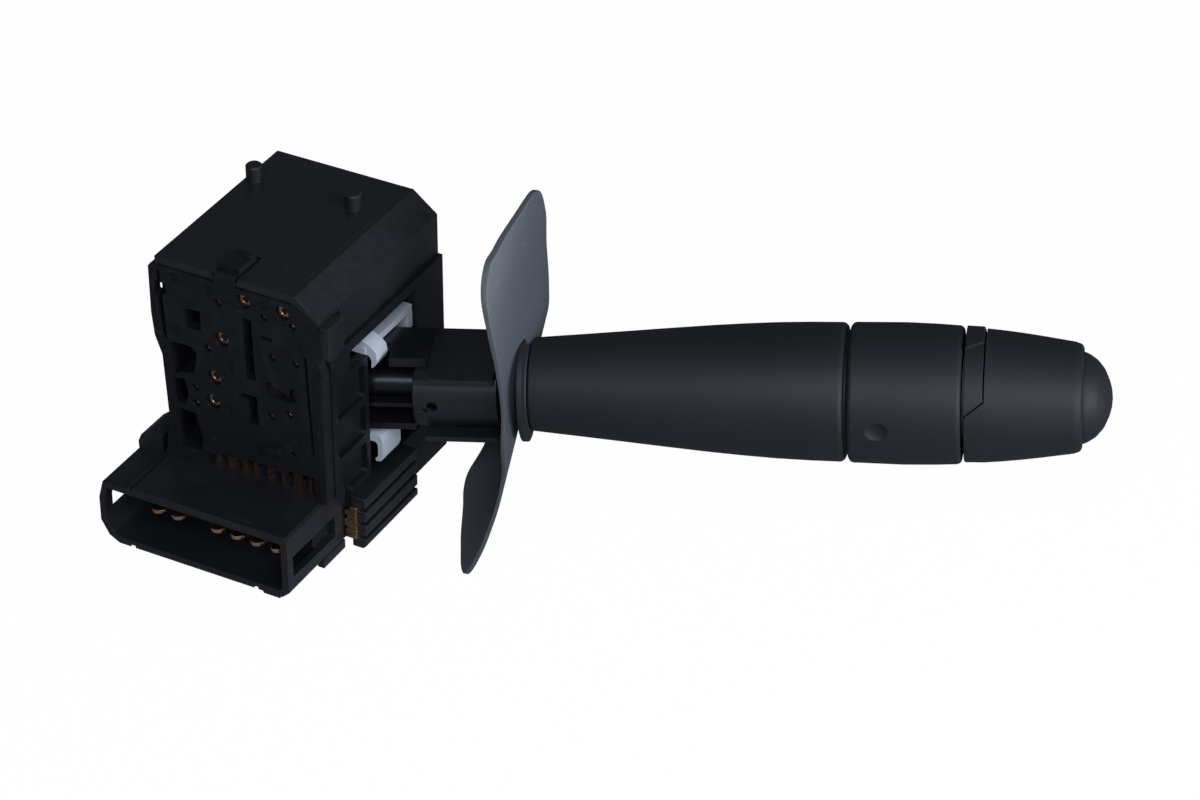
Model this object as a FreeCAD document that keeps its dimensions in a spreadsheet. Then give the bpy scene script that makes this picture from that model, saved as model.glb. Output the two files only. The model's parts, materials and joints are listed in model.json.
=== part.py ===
import FreeCAD, Part
import math
import os
import re
import Sketcher

# Combination stalk switch of a car's steering column. Millimetres, +Z up.
# Sizes below are read from the switch box's own corner: X runs along the width of the box towards
# the stalk, Y from the terminal plate to the driver's side, Z up from the cover's top face.
# Everything is then set down so that the foot of the main locating pin is the origin.

V = FreeCAD.Vector
doc = FreeCAD.newDocument("StalkSwitch")
sheet = doc.addObject("Spreadsheet::Sheet", "Sizes")

SIZES = {
    # box
    "boxDepth": 46, "boxWidth": 38.4, "boxFloor": -60,
    "wall": 2.2, "coverStep": 1, "chamferRun": 5.4, "chamferDrop": -4.3,
    "splitLine": -13.5, "roof": 1.6,
    "pinX": 25, "pinY": 34.4, "pinRadius": 1.75, "pinTall": 3.4, "secondPin": 1.8,
    # terminal plate and connector
    "plateThick": 2.4, "trackThick": 0.35,
    "mouth": -14, "shroudBack": 8.2, "shroudTop": -46.6, "shroudFloor": -61.3,
    "shroudLeft": -7.3, "shroudRight": 36.9, "shroudWall": 1.5,
    "bladePitch": 4.64, "bladeFirst": 4.75, "bladeWidth": 3, "bladeThick": 0.8, "bladeDrop": 5.5,
    "tailThick": 0.6,
    # window, rail
    "windowNear": 16, "windowBack": 10.7, "windowTop": -15.9, "windowFloor": -49.2,
    "railOut": 3.2, "railFront": 7.9, "railBack": 28.6, "railTop": -49.5, "railFloor": -61.7,
    # hinges
    "turnOff": 0.8, "turnZ": -31.4, "journal": 11, "trunnion": 3, "carrierGap": 10,
    "flashArm": 9, "flashY": 18.93, "stub": 2, "running": 0.05,
    # stalk, along its own axis from the box's wall
    "stalkOut": 9.4, "stalkY": 22.5, "stalkZ": -30.24, "stalkYaw": 20.8, "stalkRise": 3.27,
    "core": 2.85, "tube": 2.1, "rod": 1.25, "crank": 6,
    "barrel": 6.2, "flangeHalf": 9.4, "shieldRadius": 27.3, "shieldThick": 1.4,
    "shieldStart": 29.1, "collarTall": 1.8, "handleLong": 61.5, "shell": 1.7,
    "ringGap": 0.5, "ringLong": 22.3, "bandLong": 4.2, "collarLong": 19.1,
    "gripRadius": 14, "sleeve": 8, "sleeveBore": 6.8, "buttonRadius": 9.05, "buttonOut": 5.7,
}
for row, (word, size) in enumerate(SIZES.items(), start=1):
    sheet.set("A%d" % row, word)
    sheet.set("B%d" % row, str(size))
    sheet.setAlias("B%d" % row, word)
doc.recompute()


# Places that follow from the sizes above.
FOLLOWS = {
    "coverWidth": "boxWidth - coverStep", "topWidth": "coverWidth - chamferRun",
    "railFace": "boxWidth + railOut", "windowFar": "boxDepth - windowBack",
    "carrierBack": "boxDepth - carrierGap", "turnX": "boxWidth / 2 + turnOff",
    "flashX": "turnX + flashArm", "stalkX": "flashX + stalkOut",
    "detentReach": "(turnX + 13.2 - wall) / 2",
    "handleStart": "shieldStart + collarTall", "handleEnd": "handleStart + handleLong",
    "ringStart": "handleEnd + ringGap", "ringEnd": "ringStart + ringLong",
    "bandEnd": "ringEnd + bandLong", "collarEnd": "bandEnd + collarLong",
    "buttonEnd": "collarEnd + buttonOut",
}


def sized(text):
    """An expression in the sheet's words, with each word turned into a reference."""
    def word(found):
        if found[0] in FOLLOWS:
            return "(" + sized(FOLLOWS[found[0]]) + ")"
        return "Sizes." + found[0] if found[0] in SIZES else found[0]
    return re.sub(r"[A-Za-z]\w*", word, str(text))


def number(text):
    return float(sheet.evalExpression(sized(text)))


def bind(thing, what, text):
    """Ties one size of a feature to the sheet."""
    thing.setExpression(what, sized(text))


# Sketched bodies

def body(label):
    made = doc.addObject("PartDesign::Body", label)
    made.Label = label
    return made


def drawing(owner, role, offset="0"):
    """A sketch on one of the body's own origin planes, moved along that plane's normal."""
    made = owner.newObject("Sketcher::SketchObject", owner.Name + "_sketch")
    plane = [f for f in owner.Origin.OriginFeatures if f.Role == role][0]
    made.AttachmentSupport = [(plane, "")]
    made.MapMode = "FlatFace"
    made.setExpression("AttachmentOffset.Base.z", sized(offset))
    return made


def outline(sketch, corners):
    """A closed run of straight lines whose corners are placed by expressions."""
    first = sketch.GeometryCount
    spots = [V(number(x), number(y), 0) for x, y in corners]
    for k, spot in enumerate(spots):
        sketch.addGeometry(Part.LineSegment(spot, spots[(k + 1) % len(spots)]))
    for k in range(len(spots)):
        after = first + (k + 1) % len(spots)
        sketch.addConstraint(Sketcher.Constraint("Coincident", first + k, 2, after, 1))
    for k, (x, y) in enumerate(corners):
        for kind, text, now in (("DistanceX", x, spots[k].x), ("DistanceY", y, spots[k].y)):
            made = sketch.addConstraint(Sketcher.Constraint(kind, -1, 1, first + k, 1, now))
            sketch.setExpression("Constraints[%d]" % made, sized(text))


def disc(sketch, x, y, radius):
    at = sketch.GeometryCount
    sketch.addGeometry(Part.Circle(V(number(x), number(y), 0), V(0, 0, 1), number(radius)))
    for kind, text in (("DistanceX", x), ("DistanceY", y)):
        made = sketch.addConstraint(Sketcher.Constraint(kind, -1, 1, at, 3, number(text)))
        sketch.setExpression("Constraints[%d]" % made, sized(text))
    made = sketch.addConstraint(Sketcher.Constraint("Radius", at, number(radius)))
    sketch.setExpression("Constraints[%d]" % made, sized(radius))


def rectangle(sketch, x0, x1, y0, y1):
    outline(sketch, [(x0, y0), (x1, y0), (x1, y1), (x0, y1)])


def feature(owner, kind, sketch, length, back=False, both=False, cuts=False):
    before = owner.Shape.Volume if cuts else 0
    made = owner.newObject("PartDesign::" + kind, owner.Name + "_" + kind)
    made.Profile = sketch
    bind(made, "Length", length)
    made.Reversed = back
    made.Midplane = both
    sketch.Visibility = False
    doc.recompute()
    if cuts and owner.Shape.Volume > before - 0.01:
        raise ValueError("nothing was cut from " + owner.Label)
    return made


def pad(owner, sketch, length, back=False, both=False):
    return feature(owner, "Pad", sketch, length, back, both)


def pocket(owner, sketch, length, back=False, both=False):
    return feature(owner, "Pocket", sketch, length, back, both, cuts=True)


def turned(owner, sketch, kind="Revolution"):
    """A profile of (distance along the stalk, radius) turned about the stalk's axis."""
    before = owner.Shape.Volume if kind == "Groove" else 0
    made = owner.newObject("PartDesign::" + kind, owner.Name + "_" + kind)
    made.Profile = sketch
    made.ReferenceAxis = (sketch, ["H_Axis"])
    made.Angle = 360
    sketch.Visibility = False
    doc.recompute()
    if kind == "Groove" and owner.Shape.Volume > before - 0.01:
        raise ValueError("nothing was grooved from " + owner.Label)
    return made


def rounded(owner, radius, wanted, kind="Fillet"):
    """Rounds or bevels the edges of the body's last feature that the test picks."""
    last = owner.Tip
    names = ["Edge%d" % (k + 1) for k, e in enumerate(last.Shape.Edges) if wanted(e)]
    if not names:
        raise ValueError("no edge to round on " + owner.Label)
    made = owner.newObject("PartDesign::" + kind, owner.Name + "_" + kind)
    made.Base = (last, names)
    bind(made, "Radius" if kind == "Fillet" else "Size", radius)
    doc.recompute()
    return made


def straight(edge, axis):
    """True for a straight edge that runs along an axis."""
    if edge.Curve.TypeId != "Part::GeomLine":
        return False
    return abs(abs(edge.Curve.Direction.dot(axis)) - 1) < 1e-6


# Simple solids

def box(x0, x1, y0, y1, z0, z1):
    made = doc.addObject("Part::Box", "block")
    for size, low, high in (("Length", x0, x1), ("Width", y0, y1), ("Height", z0, z1)):
        bind(made, size, "(%s) - (%s)" % (high, low))
    for axis, low in (("x", x0), ("y", y0), ("z", z0)):
        bind(made, "Placement.Base." + axis, low)
    return made


def rod(axis, x, y, z, radius, length):
    """A cylinder that starts at a point and runs along +X, +Y or +Z."""
    made = doc.addObject("Part::Cylinder", "round")
    bind(made, "Radius", radius)
    bind(made, "Height", length)
    turn = {"X": FreeCAD.Rotation(V(0, 1, 0), 90), "Y": FreeCAD.Rotation(V(1, 0, 0), -90),
            "Z": FreeCAD.Rotation()}[axis]
    made.Placement = FreeCAD.Placement(V(), turn)
    for word, text in (("x", x), ("y", y), ("z", z)):
        bind(made, "Placement.Base." + word, text)
    return made


def ball(x, y, z, radius):
    made = doc.addObject("Part::Sphere", "ball")
    bind(made, "Radius", radius)
    for word, text in (("x", x), ("y", y), ("z", z)):
        bind(made, "Placement.Base." + word, text)
    return made


def fused(label, pieces):
    if len(pieces) == 1:
        pieces[0].Label = label
        return pieces[0]
    made = doc.addObject("Part::MultiFuse", label)
    made.Label = label
    made.Shapes = pieces
    made.Refine = True
    return made


def cut(label, base, tool):
    made = doc.addObject("Part::Cut", label)
    made.Label = label
    made.Base = base
    made.Tool = tool
    made.Refine = True
    return made


parts = []


def on_box(piece):
    """Sets a piece of the box down, with the main pin's foot at the origin."""
    parts.append(piece)
    placed = {path.lstrip("."): text for path, text in piece.ExpressionEngine}
    for axis, word in (("x", "pinX"), ("y", "pinY")):
        path = "Placement.Base." + axis
        piece.setExpression(path, "%s - Sizes.%s" % (placed.get(path, "0"), word))
    return piece


stalk_turn = FreeCAD.Rotation(V(0, 0, 1), number("stalkYaw")).multiply(
    FreeCAD.Rotation(V(0, 1, 0), -number("stalkRise")))
stalk_frame = FreeCAD.Placement(
    V(number("stalkX - pinX"), number("stalkY - pinY"), number("stalkZ")), stalk_turn)


def on_stalk(piece):
    """Sets a piece of the stalk down: its own +X runs out along the stalk, its own -Y faces the
    terminal plate's side and its own +Z is up."""
    parts.append(piece)
    piece.Placement = stalk_frame
    return piece


# Cover

cover = body("top_cover")
profile = drawing(cover, "XZ_Plane", "-0.4")
outline(profile, [("0", "0"), ("topWidth", "0"), ("coverWidth", "chamferDrop"),
                  ("coverWidth", "splitLine"), ("0", "splitLine")])
pad(cover, profile, "boxDepth - 0.4", back=True)
hollow = drawing(cover, "XZ_Plane", "0")
outline(hollow, [("wall", "-roof"), ("topWidth - roof / 2", "-roof"),
                 ("coverWidth - wall", "chamferDrop - 0.8"),
                 ("coverWidth - wall", "splitLine - 1"), ("wall", "splitLine - 1")])
pocket(cover, hollow, "boxDepth - wall")
front = drawing(cover, "XZ_Plane", "0")
outline(front, [("-3", "-roof - 0.1"), ("topWidth - 0.5", "-roof - 0.1"),
                ("coverWidth - 0.3", "chamferDrop - 1.1"), ("coverWidth + 2", "chamferDrop - 1.1"),
                ("coverWidth + 2", "splitLine - 2"), ("-3", "splitLine - 2")])
pocket(cover, front, "plateThick")
pins = drawing(cover, "XY_Plane", "-roof / 2")
disc(pins, "pinX", "pinY", "pinRadius")
disc(pins, "secondPin", "pinY", "pinRadius")
pad(cover, pins, "pinTall + roof / 2")
rounded(cover, "0.35", lambda e: e.Curve.TypeId == "Part::GeomCircle"
        and e.BoundBox.ZMin > number("pinTall - 0.01"), "Chamfer")
# seats of the two latches
seat = drawing(cover, "XY_Plane", "0")
rectangle(seat, "13.3", "19", "-1", "9.6")
pocket(cover, seat, "0.9")
seat = drawing(cover, "YZ_Plane", "coverWidth")
outline(seat, [("-1", "-5.2"), ("8", "-5.6"), ("8", "-11"), ("2", "splitLine - 1"),
               ("-1", "splitLine - 1")])
pocket(cover, seat, "1.1")
on_box(cover)

# Lower housing

housing = body("housing_moulding")
profile = drawing(housing, "YZ_Plane")
outline(profile, [("plateThick", "splitLine"), ("boxDepth", "splitLine"),
                  ("boxDepth", "boxFloor"), ("shroudBack", "boxFloor"),
                  ("shroudBack", "shroudTop"), ("plateThick", "shroudTop")])
pad(housing, profile, "boxWidth")
hollow = drawing(housing, "YZ_Plane", "wall")
outline(hollow, [("0", "splitLine + 1"), ("boxDepth - wall", "splitLine + 1"),
                 ("boxDepth - wall", "boxFloor + wall"), ("shroudBack + wall", "boxFloor + wall"),
                 ("shroudBack + wall", "shroudTop + wall"), ("0", "shroudTop + wall")])
pocket(housing, hollow, "boxWidth - 2 * wall", back=True)
window = drawing(housing, "YZ_Plane", "boxWidth + 1")
outline(window, [("windowNear - 6.5", "windowTop"), ("windowFar", "windowTop"),
                 ("windowFar", "windowFloor"), ("windowNear", "windowFloor"),
                 ("windowNear", "windowTop - 4.6"), ("windowNear - 6.5", "windowTop - 4.6")])
pocket(housing, window, "wall + 2")
# three shallow bays between ribs on the near part of the side wall
bays = drawing(housing, "YZ_Plane", "boxWidth")
for top, low in ((-21.6, -29.4), (-31.2, -38.4), (-40.2, -47.6)):
    rectangle(bays, "4.2", "windowNear - 1.4", str(low), str(top))
pocket(housing, bays, "1.2")
rounded(housing, "1.1", lambda e: straight(e, V(1, 0, 0)) and e.Length < 1.3
        and e.CenterOfMass.x > number("boxWidth - 1.3") and 4 < e.CenterOfMass.y < 15
        and e.CenterOfMass.z > -48)
boss = drawing(housing, "XZ_Plane", "-(boxDepth - wall)")
disc(boss, "turnX", "turnZ", "trunnion * 2")
pad(housing, boss, "5.6")
bore = drawing(housing, "XZ_Plane", "-(boxDepth - wall - 5.6)")
disc(bore, "turnX", "turnZ", "trunnion + running")
pocket(housing, bore, "6.8")

# Blades and connector

# Each blade lies flat in the shroud, rises behind its top and steps across to its own tails,
# which stand in the open foot of the terminal plate: (place, level, tails as (offset, width)).
blade_mid = "shroudTop - bladeDrop"
tail_back = "plateThick"
BLADES = (
    (0, 2.6, ((6.4, 0.9),)),
    (1, 4.2, ((5.1, 1.7),)),
    (3, 4.2, ((-1.1, 1), (1.35, 0.7))),
    (4, 4.2, ((0, 0.9),)),
    (5, 4.2, ((-1.25, 1), (1.95, 1.9))),
    (6, 4.2, ((0.3, 0.7),)),
)


def blade_blocks(place, level, tails):
    """The blocks of one blade; a blade and its seat are made from the same ones."""
    middle = "(bladeFirst + bladePitch * %d)" % place
    deep = (tail_back + " - tailThick", tail_back)
    reach = [0] + [offset for offset, _ in tails]
    low = "%s + %g - 0.45" % (middle, min(reach))
    high = "%s + %g + 0.45" % (middle, max(reach))
    made = [
        box(middle + " - bladeWidth / 2", middle + " + bladeWidth / 2", "mouth + 3.2", deep[1],
            blade_mid + " - bladeThick / 2", blade_mid + " + bladeThick / 2"),
        box(middle + " - 0.9", middle + " + 0.9", *deep, blade_mid, "shroudTop - %g" % level),
        box(low, high, *deep, "shroudTop - %g - 1" % level, "shroudTop - %g" % level)]
    for offset, width in tails:
        at = "%s + %g" % (middle, offset)
        made.append(box("%s - %g" % (at, width / 2), "%s + %g" % (at, width / 2), *deep,
                        "shroudTop - %g - 0.5" % level, "shroudTop + 6.2"))
    return made


blades = []
for order, (place, level, tails) in enumerate(BLADES, start=1):
    middle = "(bladeFirst + bladePitch * %d)" % place
    tongue = rod("Z", middle, "mouth + 3.4", blade_mid + " - bladeThick / 2", "bladeWidth / 2",
                 "bladeThick")
    blades.append(on_box(fused("blade_%d" % order, blade_blocks(place, level, tails) + [tongue])))


def blade_tools():
    """The same blades in the box's own place, to cut their seats."""
    return [block for blade in BLADES for block in blade_blocks(*blade)]


on_box(cut("lower_housing", housing, fused("housing_seats", blade_tools())))

shroud = body("shroud_moulding")
profile = drawing(shroud, "XZ_Plane", "-mouth")
outline(profile, [("shroudLeft + 1.1", "shroudTop - 0.5"), ("shroudLeft", "shroudTop - 4.6"),
                  ("shroudLeft", "shroudTop - 10.2"), ("shroudLeft + 1.8", "shroudTop - 13.4"),
                  ("shroudLeft + 4.2", "shroudFloor"), ("shroudRight - 1.6", "shroudFloor"),
                  ("shroudRight", "shroudFloor + 1.4"), ("shroudRight", "shroudTop - 0.5"),
                  ("shroudRight - 0.6", "shroudTop"), ("shroudLeft + 6.9", "shroudTop"),
                  ("shroudLeft + 6.7", "shroudTop - 0.5")])
pad(shroud, profile, "shroudBack - mouth", back=True)
hollow = drawing(shroud, "XZ_Plane", "-mouth")
outline(hollow, [("shroudLeft + shroudWall + 0.5", "shroudTop - shroudWall - 0.4"),
                 ("shroudLeft + shroudWall", "shroudTop - 4.8"),
                 ("shroudLeft + shroudWall", "shroudTop - 10"),
                 ("shroudLeft + shroudWall + 1.5", "shroudTop - 12.4"),
                 ("shroudLeft + shroudWall + 3.2", "shroudFloor + shroudWall"),
                 ("shroudRight - shroudWall - 0.6", "shroudFloor + shroudWall"),
                 ("shroudRight - shroudWall", "shroudFloor + shroudWall + 0.8"),
                 ("shroudRight - shroudWall", "shroudTop - shroudWall - 0.4")])
pocket(shroud, hollow, "-mouth - 1.6")
# windows through the two side walls, for the plug's catches
side = drawing(shroud, "YZ_Plane", "shroudLeft - 1")
rectangle(side, "mouth + 2.4", "mouth + 10.4", "shroudTop - 9.2", "shroudTop - 3.8")
pocket(shroud, side, "shroudWall + 1.5", back=True)
side = drawing(shroud, "YZ_Plane", "shroudRight + 1")
outline(side, [("mouth + 2", "shroudTop - 10.4"), ("3.9", "shroudTop - 10.8"),
               ("3.9", "shroudTop - 5.8"), ("mouth + 2", "shroudTop - 5.6")])
pocket(shroud, side, "shroudWall + 1.5")
# a long groove beside the raised left edge, and small notches under the mouth
groove = drawing(shroud, "XY_Plane", "shroudTop")
rectangle(groove, "shroudLeft + 7.6", "shroudLeft + 8.2", "mouth - 1", "-1")
pocket(shroud, groove, "0.5")
notches = drawing(shroud, "XZ_Plane", "-mouth")
rectangle(notches, "shroudLeft + 6.8", "shroudLeft + 8", "shroudFloor - 0.5", "shroudFloor + 0.5")
rectangle(notches, "shroudRight - 8.2", "shroudRight - 7.2", "shroudFloor - 0.5", "shroudFloor + 0.5")
pocket(shroud, notches, "1.6")
# shoulder where the shroud meets the plate's left rim, and the foot under its right side
lug = drawing(shroud, "XZ_Plane", "0")
outline(lug, [("shroudLeft + 0.6", "shroudTop - 1"), ("shroudLeft + 0.5", "shroudTop + 0.6"),
              ("shroudLeft + 1.3", "shroudTop + 2.4"), ("shroudLeft + 3.2", "shroudTop + 3.9"),
              ("shroudLeft + 4.8", "shroudTop + 4"), ("shroudLeft + 6.3", "shroudTop + 3.3"),
              ("shroudLeft + 6.3", "shroudTop - 1")])
pad(shroud, lug, "shroudBack", back=True)
foot = drawing(shroud, "XY_Plane", "shroudFloor + 0.8")
rectangle(foot, "shroudRight - 1.6", "shroudRight - 0.1", "-0.6", "7.6")
pad(shroud, foot, "2", back=True)
tab = drawing(shroud, "XZ_Plane", "-mouth - 0.01")
outline(tab, [("shroudRight - 6.4", "shroudFloor + 0.3"), ("shroudRight - 5.9", "shroudFloor - 0.5"),
              ("shroudRight - 2.2", "shroudFloor - 0.5"), ("shroudRight - 1.7", "shroudFloor + 0.3")])
pad(shroud, tab, "3.4", back=True)
on_box(cut("connector_shroud", shroud, fused("blade_seats", blade_tools())))

# Terminal plate

def across(x):
    """A place of the plate's pattern, which spreads with the cover's width."""
    return "coverWidth * %.5f" % (x / 37.4)


plate = body("plate_moulding")
profile = drawing(plate, "XZ_Plane")
outline(profile, [("-0.9", "-roof - 0.2"), ("topWidth - 0.6", "-roof - 0.2"),
                  ("coverWidth - 0.4", "chamferDrop - 1.2"), ("coverWidth - 0.3", "splitLine - 0.9"),
                  ("coverWidth + 0.6", "splitLine - 2.8"), ("coverWidth + 0.6", "shroudTop"),
                  (across(35.3), "shroudTop"), (across(34.9), "shroudTop + 5.2"),
                  (across(29), "shroudTop + 4.9"), (across(28.7), "shroudTop + 4.1"),
                  (across(25), "shroudTop + 4"), (across(24.8), "shroudTop + 4.6"),
                  (across(19), "shroudTop + 4.5"), (across(18.8), "shroudTop + 3.9"),
                  (across(12.6), "shroudTop + 4"), (across(12.4), "shroudTop + 3.4"),
                  (across(10), "shroudTop + 3.2"), (across(9), "shroudTop"),
                  ("shroudLeft + 7.3", "shroudTop"), ("1.3", "shroudTop + 9.3"),
                  ("0.9", "-29"), ("0.6", "-22.7"), ("-0.9", "-18.5"), ("-1.4", "-13.3"),
                  ("-1.4", "-roof - 0.9")])
pad(plate, profile, "plateThick", back=True)

SLOTS = (
    ((6.6, -10), (10.2, -9.7), (10.2, -14.4), (6.7, -14.5)),
    ((19.8, -8.1), (22, -8.1), (22.4, -22.3), (20.2, -22.3)),
    ((23.8, -11), (26.7, -11), (26.7, -11.9), (23.8, -11.9)),
    ((18.5, -26.1), (22.4, -26.1), (22.6, -33), (20.5, -32.7), (20.4, -27.3), (18.5, -27.3)),
    ((24.1, -22.4), (25.3, -21.4), (27.4, -21.2), (28, -23), (29.9, -23.5), (30.2, -21.7),
     (31.5, -21.4), (31.5, -24.5), (29.9, -25), (26.4, -24.8), (24.4, -24)),
    ((33.7, -13.2), (34.4, -13.2), (35.4, -36), (34.7, -36)),
    ((2.2, -19.2), (6.7, -18.6), (8, -19), (8.9, -20.1), (7.9, -25), (4.4, -25.7), (3.3, -26.4)),
    ((2.8, -27.6), (5.5, -27), (6.3, -29.8), (5.7, -33.1), (3.2, -33.5)),
    ((3.8, -34.5), (7.7, -34.6), (9.1, -40.1), (8.7, -43.6), (3.4, -43.6), (3.2, -40.2)),
    ((-0.4, -5.6), (0.4, -5.6), (0.4, -2.9), (1.2, -2.9), (1.2, -5.6), (2.6, -5.6), (2.6, -8),
     (1.5, -8.3), (1.8, -14), (2.1, -18.6), (1.3, -18.4), (0.7, -14), (0.5, -8.7), (-0.4, -8.5)),
)
slots = drawing(plate, "XZ_Plane")
for shape in SLOTS:
    outline(slots, [(across(x), str(z)) for x, z in shape])
pocket(plate, slots, "plateThick + 1")

# Riveted bosses of the tracks: (x, z, radius, track)
RIVETS = (
    (20.4, -4.4, 1.6, "light"), (29.2, -4.4, 1.6, "flash"), (14.9, -14.9, 1.7, "light"),
    (12.6, -24.6, 1.7, "turn"), (11.9, -30.5, 1.7, "turn"),
    (14.5, -6.5, 0.9, "light"), (24.9, -6.7, 0.9, "fog"), (31.4, -6.9, 0.9, "flash"),
    (11.5, -18, 0.9, "turn"), (26.5, -15.6, 0.9, "fog"), (31.8, -15.5, 0.9, "flash"),
    (8, -28.4, 0.8, "turn"), (8, -32.1, 0.9, "turn"), (25.6, -29.7, 0.9, "fog"),
    (29.8, -28, 0.9, "flash"), (30.4, -37.2, 0.7, "flash"),
)
holes = drawing(plate, "XZ_Plane")
for x, z, radius, _ in RIVETS:
    disc(holes, across(x), str(z), str(radius))
pocket(plate, holes, "plateThick + 1")
# shallow marks left by the mould's pins
marks = drawing(plate, "XZ_Plane")
for x, z in ((4.3, -3.4), (12.4, -4.1), (4.3, -15.9), (24.7, -3.9), (16.5, -20.5), (32.6, -10.9),
             (16, -30.9), (12.5, -38.7), (31.7, -33.6), (22.2, -38.8)):
    disc(marks, across(x), str(z), "1")
pocket(plate, marks, "0.25")
lug = drawing(plate, "XZ_Plane")
rectangle(lug, across(24.7), across(27.6), "-37.9", "-36.4")
pad(plate, lug, "1.2")
# a raised strip along the plate's right edge
strip = drawing(plate, "XZ_Plane")
outline(strip, [("coverWidth - 0.9", "splitLine - 2.8"), ("coverWidth + 0.6", "splitLine - 2.8"),
                ("coverWidth + 0.6", "shroudTop + 0.02"), ("coverWidth - 0.9", "shroudTop + 0.02")])
pad(plate, strip, "0.5")
# latch tongue over the cover's front edge, and latch arm along its side
tongue = drawing(plate, "YZ_Plane", "13.8")
outline(tongue, [("0", "-roof - 0.4"), ("0", "0.1"), ("0.4", "0.5"), ("8.2", "0.5"), ("9.1", "-0.2"),
                 ("9.1", "-0.85"), ("0.35", "-0.85"), ("0.35", "-roof - 0.4")])
pad(plate, tongue, "4.7", back=False)
arm = drawing(plate, "YZ_Plane", "coverWidth - 1.05")
outline(arm, [("0", "-6"), ("7", "-6.6"), ("7", "-9.6"), ("1.6", "-13"), ("0", "-13")])
pad(plate, arm, "1.6")
on_box(cut("terminal_plate", plate, fused("tail_seats", blade_tools())))

# Tracks and rivets

# Each track is one outline, (x, z) in the plate's pattern; its foot meets the blades' tails.
TRACKS = {
    "turn": ((9.4, -41.6), (13, -41.6), (13, -16.4), (9.8, -16.4), (9.8, -26.6), (7, -26.6),
             (7, -33.2), (9.4, -33.2)),
    "light": ((13.5, -41.6), (20.6, -41.6), (20.6, -39.4), (18, -39.4), (18, -6.6), (22.2, -6.6),
              (22.2, -2.7), (18.6, -2.7), (18.6, -5.2), (13.5, -5.2)),
    "fog": ((22.3, -41.6), (27.3, -41.6), (27.3, -4.4), (23.3, -4.4), (23.3, -39.4), (22.3, -39.4)),
    "flash": ((27.8, -41.6), (33.2, -41.6), (33.2, -5.4), (30.9, -2.7), (27.8, -2.7)),
}
OPENINGS = {
    "turn": ((10.4, 12.4, -37, -34),),
    "light": ((15, 16.6, -37, -34), (15, 16.6, -21.5, -18.5)),
    "fog": ((24.6, 26, -36, -33.5), (24.6, 26, -20, -17.8)),
    "flash": ((29.4, 31, -35, -32.4), (29.4, 31, -13, -9.8)),
}
for word, corners in TRACKS.items():
    strip = body("track_" + word)
    shape = drawing(strip, "XZ_Plane", "-plateThick")
    outline(shape, [(across(x), str(z)) for x, z in corners])
    pad(strip, shape, "trackThick", back=True)
    gaps = drawing(strip, "XZ_Plane", "-plateThick")
    for x0, x1, z0, z1 in OPENINGS[word]:
        rectangle(gaps, across(x0), across(x1), str(z0), str(z1))
    pocket(strip, gaps, "trackThick")
    bosses = drawing(strip, "XZ_Plane", "-plateThick")
    for x, z, radius, track in RIVETS:
        if track == word:
            disc(bosses, across(x), str(z), "%s - 0.3" % radius)
    pad(strip, bosses, "plateThick - 0.9")
    eyes = drawing(strip, "XZ_Plane", "-0.9")
    for x, z, radius, track in RIVETS:
        if track == word:
            disc(eyes, across(x), str(z), "(%s - 0.3) * 0.56" % radius)
    pocket(strip, eyes, "1", back=False)
    on_box(strip)

# Guide rail and its clip

rail = body("guide_rail")
profile = drawing(rail, "XZ_Plane", "-railFront")
corners = [("boxWidth", "railFloor"), ("boxWidth", "railTop"), ("railFace", "railTop")]
for z in ("railTop - 2.3", "railTop - 5.6", "railTop - 9"):
    corners += [("railFace", z), ("railFace - 1.7", z), ("railFace - 1.7", z + " - 0.9"),
                ("railFace", z + " - 0.9")]
corners += [("railFace", "railFloor + 0.8"), ("railFace - 0.8", "railFloor")]
outline(profile, corners)
pad(rail, profile, "railBack - railFront", back=True)
on_box(rail)

clip = body("rail_clip")
profile = drawing(clip, "XZ_Plane", "-(railFront - 0.8)")
outline(profile, [("railFace - 4.3", "railTop - 9.8"), ("railFace - 4.3", "railTop - 7.9"),
                  ("railFace - 3.9", "railTop - 7.9"), ("railFace - 3.9", "railTop - 7.1"),
                  ("railFace - 4.5", "railTop - 7.1"), ("railFace - 4.5", "railTop - 5.4"),
                  ("railFace - 3.9", "railTop - 5.4"), ("railFace - 3.9", "railTop - 4.3"),
                  ("railFace - 4.4", "railTop - 4.3"), ("railFace - 4.4", "railTop - 3.2"),
                  ("railFace - 3.2", "railTop - 3.2"), ("railFace - 3.2", "railTop - 2.2"),
                  ("railFace - 1.7", "railTop - 2.2"), ("railFace - 1.7", "railTop - 9.8")])
pad(clip, profile, "0.75", back=True)
on_box(clip)

# Inner wall with the big bearing

near = "8"
far = "10.6"
wall_piece = body("bearing_plate")
profile = drawing(wall_piece, "XZ_Plane", "-" + near)
rectangle(profile, "wall", "boxWidth - wall", "shroudTop + wall", "-16.6")
pad(wall_piece, profile, far + " - " + near, back=True)
bore = drawing(wall_piece, "XZ_Plane", "-" + near)
disc(bore, "turnX", "turnZ", "journal + running")
pocket(wall_piece, bore, "4")
passage = drawing(wall_piece, "XZ_Plane", "-" + near)
rectangle(passage, "turnX + 9.8", "boxWidth - wall - 0.2", "turnZ - 3.4", "turnZ + 3.4")
pocket(wall_piece, passage, "4")
peg_way = drawing(wall_piece, "XZ_Plane", "-" + near)
rectangle(peg_way, "5.6", "turnX - 10", "turnZ - 3.6", "turnZ + 3.6")
pocket(wall_piece, peg_way, "4")
ribs = drawing(wall_piece, "XZ_Plane", "-" + near)
for left, right in (("turnX - 8.5", "turnX - 6.7"), ("turnX - 0.4", "turnX + 0.3"),
                    ("turnX + 7.15", "turnX + 7.6")):
    rectangle(ribs, left, right, "shroudTop + wall", "-16.6")
pad(wall_piece, ribs, near + " - 3.4")
on_box(wall_piece)

# Detent track on the left wall

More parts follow.
